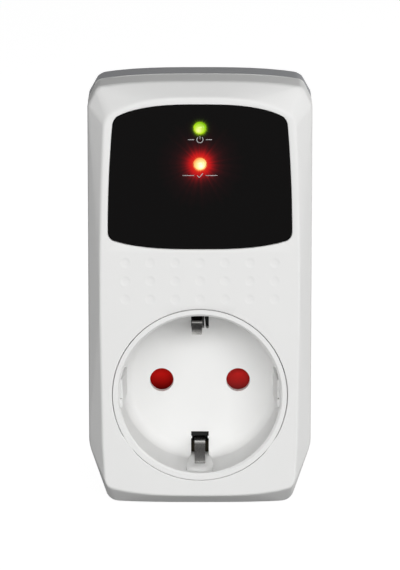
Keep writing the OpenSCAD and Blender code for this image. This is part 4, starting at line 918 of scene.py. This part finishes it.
class PROTECTOR_OT_inside(bpy.types.Operator):
    """Gives every carried-over solid the finish of its real material, with painted shade on the safety
    shutter, the earth bracket and the shutter plate
    """
    bl_idname = "protector.inside"
    bl_label = "Metal and inside"

    def execute(self, context):
        # clear red, with painted shade that darkens it towards its lower edge, where less light reaches it
        red = moulded("moulded red polycarbonate, polished", context.scene.protector_finishes.shutter,
                      roughness=0.35, grain=0.8, bump=0.004, vary=0.02, gloss=0.04)
        made = [(painted_shade_below(red, low=-2.9, high=0.8, least=0.25), "shutter_red", "safety_shutter")]
        for make, finishes in ((metal, METALS), (moulded, PLASTICS)):
            made += [(make(name, linear(text), roughness, **settings), slot, nodes)
                     for name, (text, roughness, settings, slot, nodes) in finishes.items()]
        for material, slot, nodes in made:
            for node in nodes.split():
                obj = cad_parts[node]
                obj.data.materials.clear()
                obj.data.materials.append(material)
        return {"FINISHED"}


# The soft lamps: azimuth and elevation in degrees, distance, width and height in metres, and share of light
LIGHTS = {
    "key": (12, 17, 1.6, 1.4, 0.85, 0.81),
    "right": (80, 17, 1.0, 0.5, 0.5, 0.22),
    "left": (-30, 13, 1.6, 0.7, 0.6, 0.2),
    "back": (125, 5, 1.2, 0.5, 0.2, 0.2),
}


def seen_rays(owner):
    """1 for what the camera, a reflection or a look through glass sees, and 0 for light on the object."""
    rays = add(owner, "LightPath", {}).outputs
    total = rays["Is Camera Ray"]
    for kind in ("Is Glossy Ray", "Is Transmission Ray"):
        total = add(owner, "Math", {0: total, 1: rays[kind]}, operation="ADD", use_clamp=True).outputs[0]
    return total


def aimed(name, data, aim, azimuth, elevation, distance):
    """A lamp or camera that looks at a point from a direction in degrees and a distance in metres."""
    a, e = math.radians(azimuth), math.radians(elevation)
    away = Vector((math.sin(a) * math.cos(e), -math.cos(a) * math.cos(e), math.sin(e)))
    obj = bpy.data.objects.new(name, data)
    obj.location = aim + away * distance
    obj.rotation_euler = (-away).to_track_quat("-Z", "Y").to_euler()
    bpy.context.scene.collection.objects.link(obj)
    return obj


class PROTECTOR_OT_stage(bpy.types.Operator):
    """Builds the pale floor, the soft lamps and the camera"""
    bl_idname = "protector.stage"
    bl_label = "Stage"

    def execute(self, context):
        scene = context.scene
        floor = bpy.data.meshes.new("floor")
        level, wide = CAD_BOX[0].z - 0.0002, 6.0
        corners = [(x * wide, y * wide, level) for x, y in ((-1, -1), (1, -1), (1, 1), (-1, 1))]
        floor.from_pydata(corners, [], [(0, 1, 2, 3)])
        ground = bpy.data.objects.new("floor", floor)
        scene.collection.objects.link(ground)
        # even white to the eye, which still shows the object's shadow
        paper = emptied(bpy.data.materials.new("matt white paper"))
        matt = add(paper, "BsdfDiffuse", {"Color": (0.25, 0.25, 0.25, 1)})
        white = add(paper, "Emission", {"Color": (1, 1, 1, 1), "Strength": 0.94})
        both = add(paper, "AddShader", {0: matt.outputs[0], 1: white.outputs[0]})
        mix = add(paper, "MixShader", {0: seen_rays(paper), 1: matt.outputs[0], 2: both.outputs[0]})
        add(paper, "OutputMaterial", {"Surface": mix.outputs[0]})
        floor.materials.append(paper)

        scene.world = world = emptied(bpy.data.worlds.new("white room"))
        strength = add(world, "MapRange", {"Value": seen_rays(world), "To Min": 0.1})
        sky = add(world, "Background", {"Color": (1, 1, 1, 1), "Strength": strength.outputs["Result"]})
        add(world, "OutputWorld", {"Surface": sky.outputs[0]})

        lit_height, seen_height, seen_side, tilt = 0.024, 0.0276, 0.00002, 11.4
        for name, (azimuth, elevation, distance, wide, tall, share) in LIGHTS.items():
            lamp = bpy.data.lights.new(name, "AREA")
            lamp.shape, lamp.size, lamp.size_y = "RECTANGLE", wide, tall
            # a matt white face at the aim renders at the given share of white
            lamp.energy = share * math.pi * math.pi * distance ** 2
            aimed(name, lamp, Vector((0, FRONT / 1000, lit_height)), azimuth, elevation, distance)

        # the focal length is 4104 of the picture's pixels, and the picture is 570 pixels high
        focal, high, sensor = 4104, 570, 36
        camera = bpy.data.cameras.new("camera")
        camera.sensor_width, camera.lens = sensor, sensor * focal / high
        aim = Vector((seen_side, FRONT / 1000, seen_height))
        scene.camera = aimed("camera", camera, aim, azimuth=0, elevation=tilt, distance=1.0)
        scene.view_settings.view_transform = "Standard"
        return {"FINISHED"}


PIECES = (PROTECTOR_OT_front_cover, PROTECTOR_OT_rear_cover, PROTECTOR_OT_window, PROTECTOR_OT_socket,
          PROTECTOR_OT_lamps, PROTECTOR_OT_inside, PROTECTOR_OT_stage)
GROUPS = {"protector_case": CaseSizes, "protector_window": WindowSizes, "protector_dimples": DimpleSizes,
          "protector_socket": SocketSizes, "protector_finishes": Finishes}


class PROTECTOR_PT_panel(bpy.types.Panel):
    """Lists the pieces and their sizes and colours"""
    bl_idname = "PROTECTOR_PT_panel"
    bl_label = "Voltage protector"
    bl_space_type = "VIEW_3D"
    bl_region_type = "UI"
    bl_category = "Protector"

    def draw(self, context):
        for piece in PIECES:
            self.layout.operator(piece.bl_idname)
        for name, group in GROUPS.items():
            box = self.layout.box()
            for key in group.__annotations__:
                box.prop(getattr(context.scene, name), key)


def register():
    for group in (*GROUPS.values(), *PIECES, PROTECTOR_PT_panel):
        bpy.utils.register_class(group)
    for name, group in GROUPS.items():
        setattr(bpy.types.Scene, name, PointerProperty(type=group))


def unregister():
    for name in GROUPS:
        delattr(bpy.types.Scene, name)
    for group in (PROTECTOR_PT_panel, *reversed(PIECES), *reversed(list(GROUPS.values()))):
        bpy.utils.unregister_class(group)


def main():
    """Builds everything in order."""
    register()
    for piece in PIECES:
        family, name = piece.bl_idname.split(".")
        getattr(getattr(bpy.ops, family), name)()


if __name__ == "__main__":
    main()
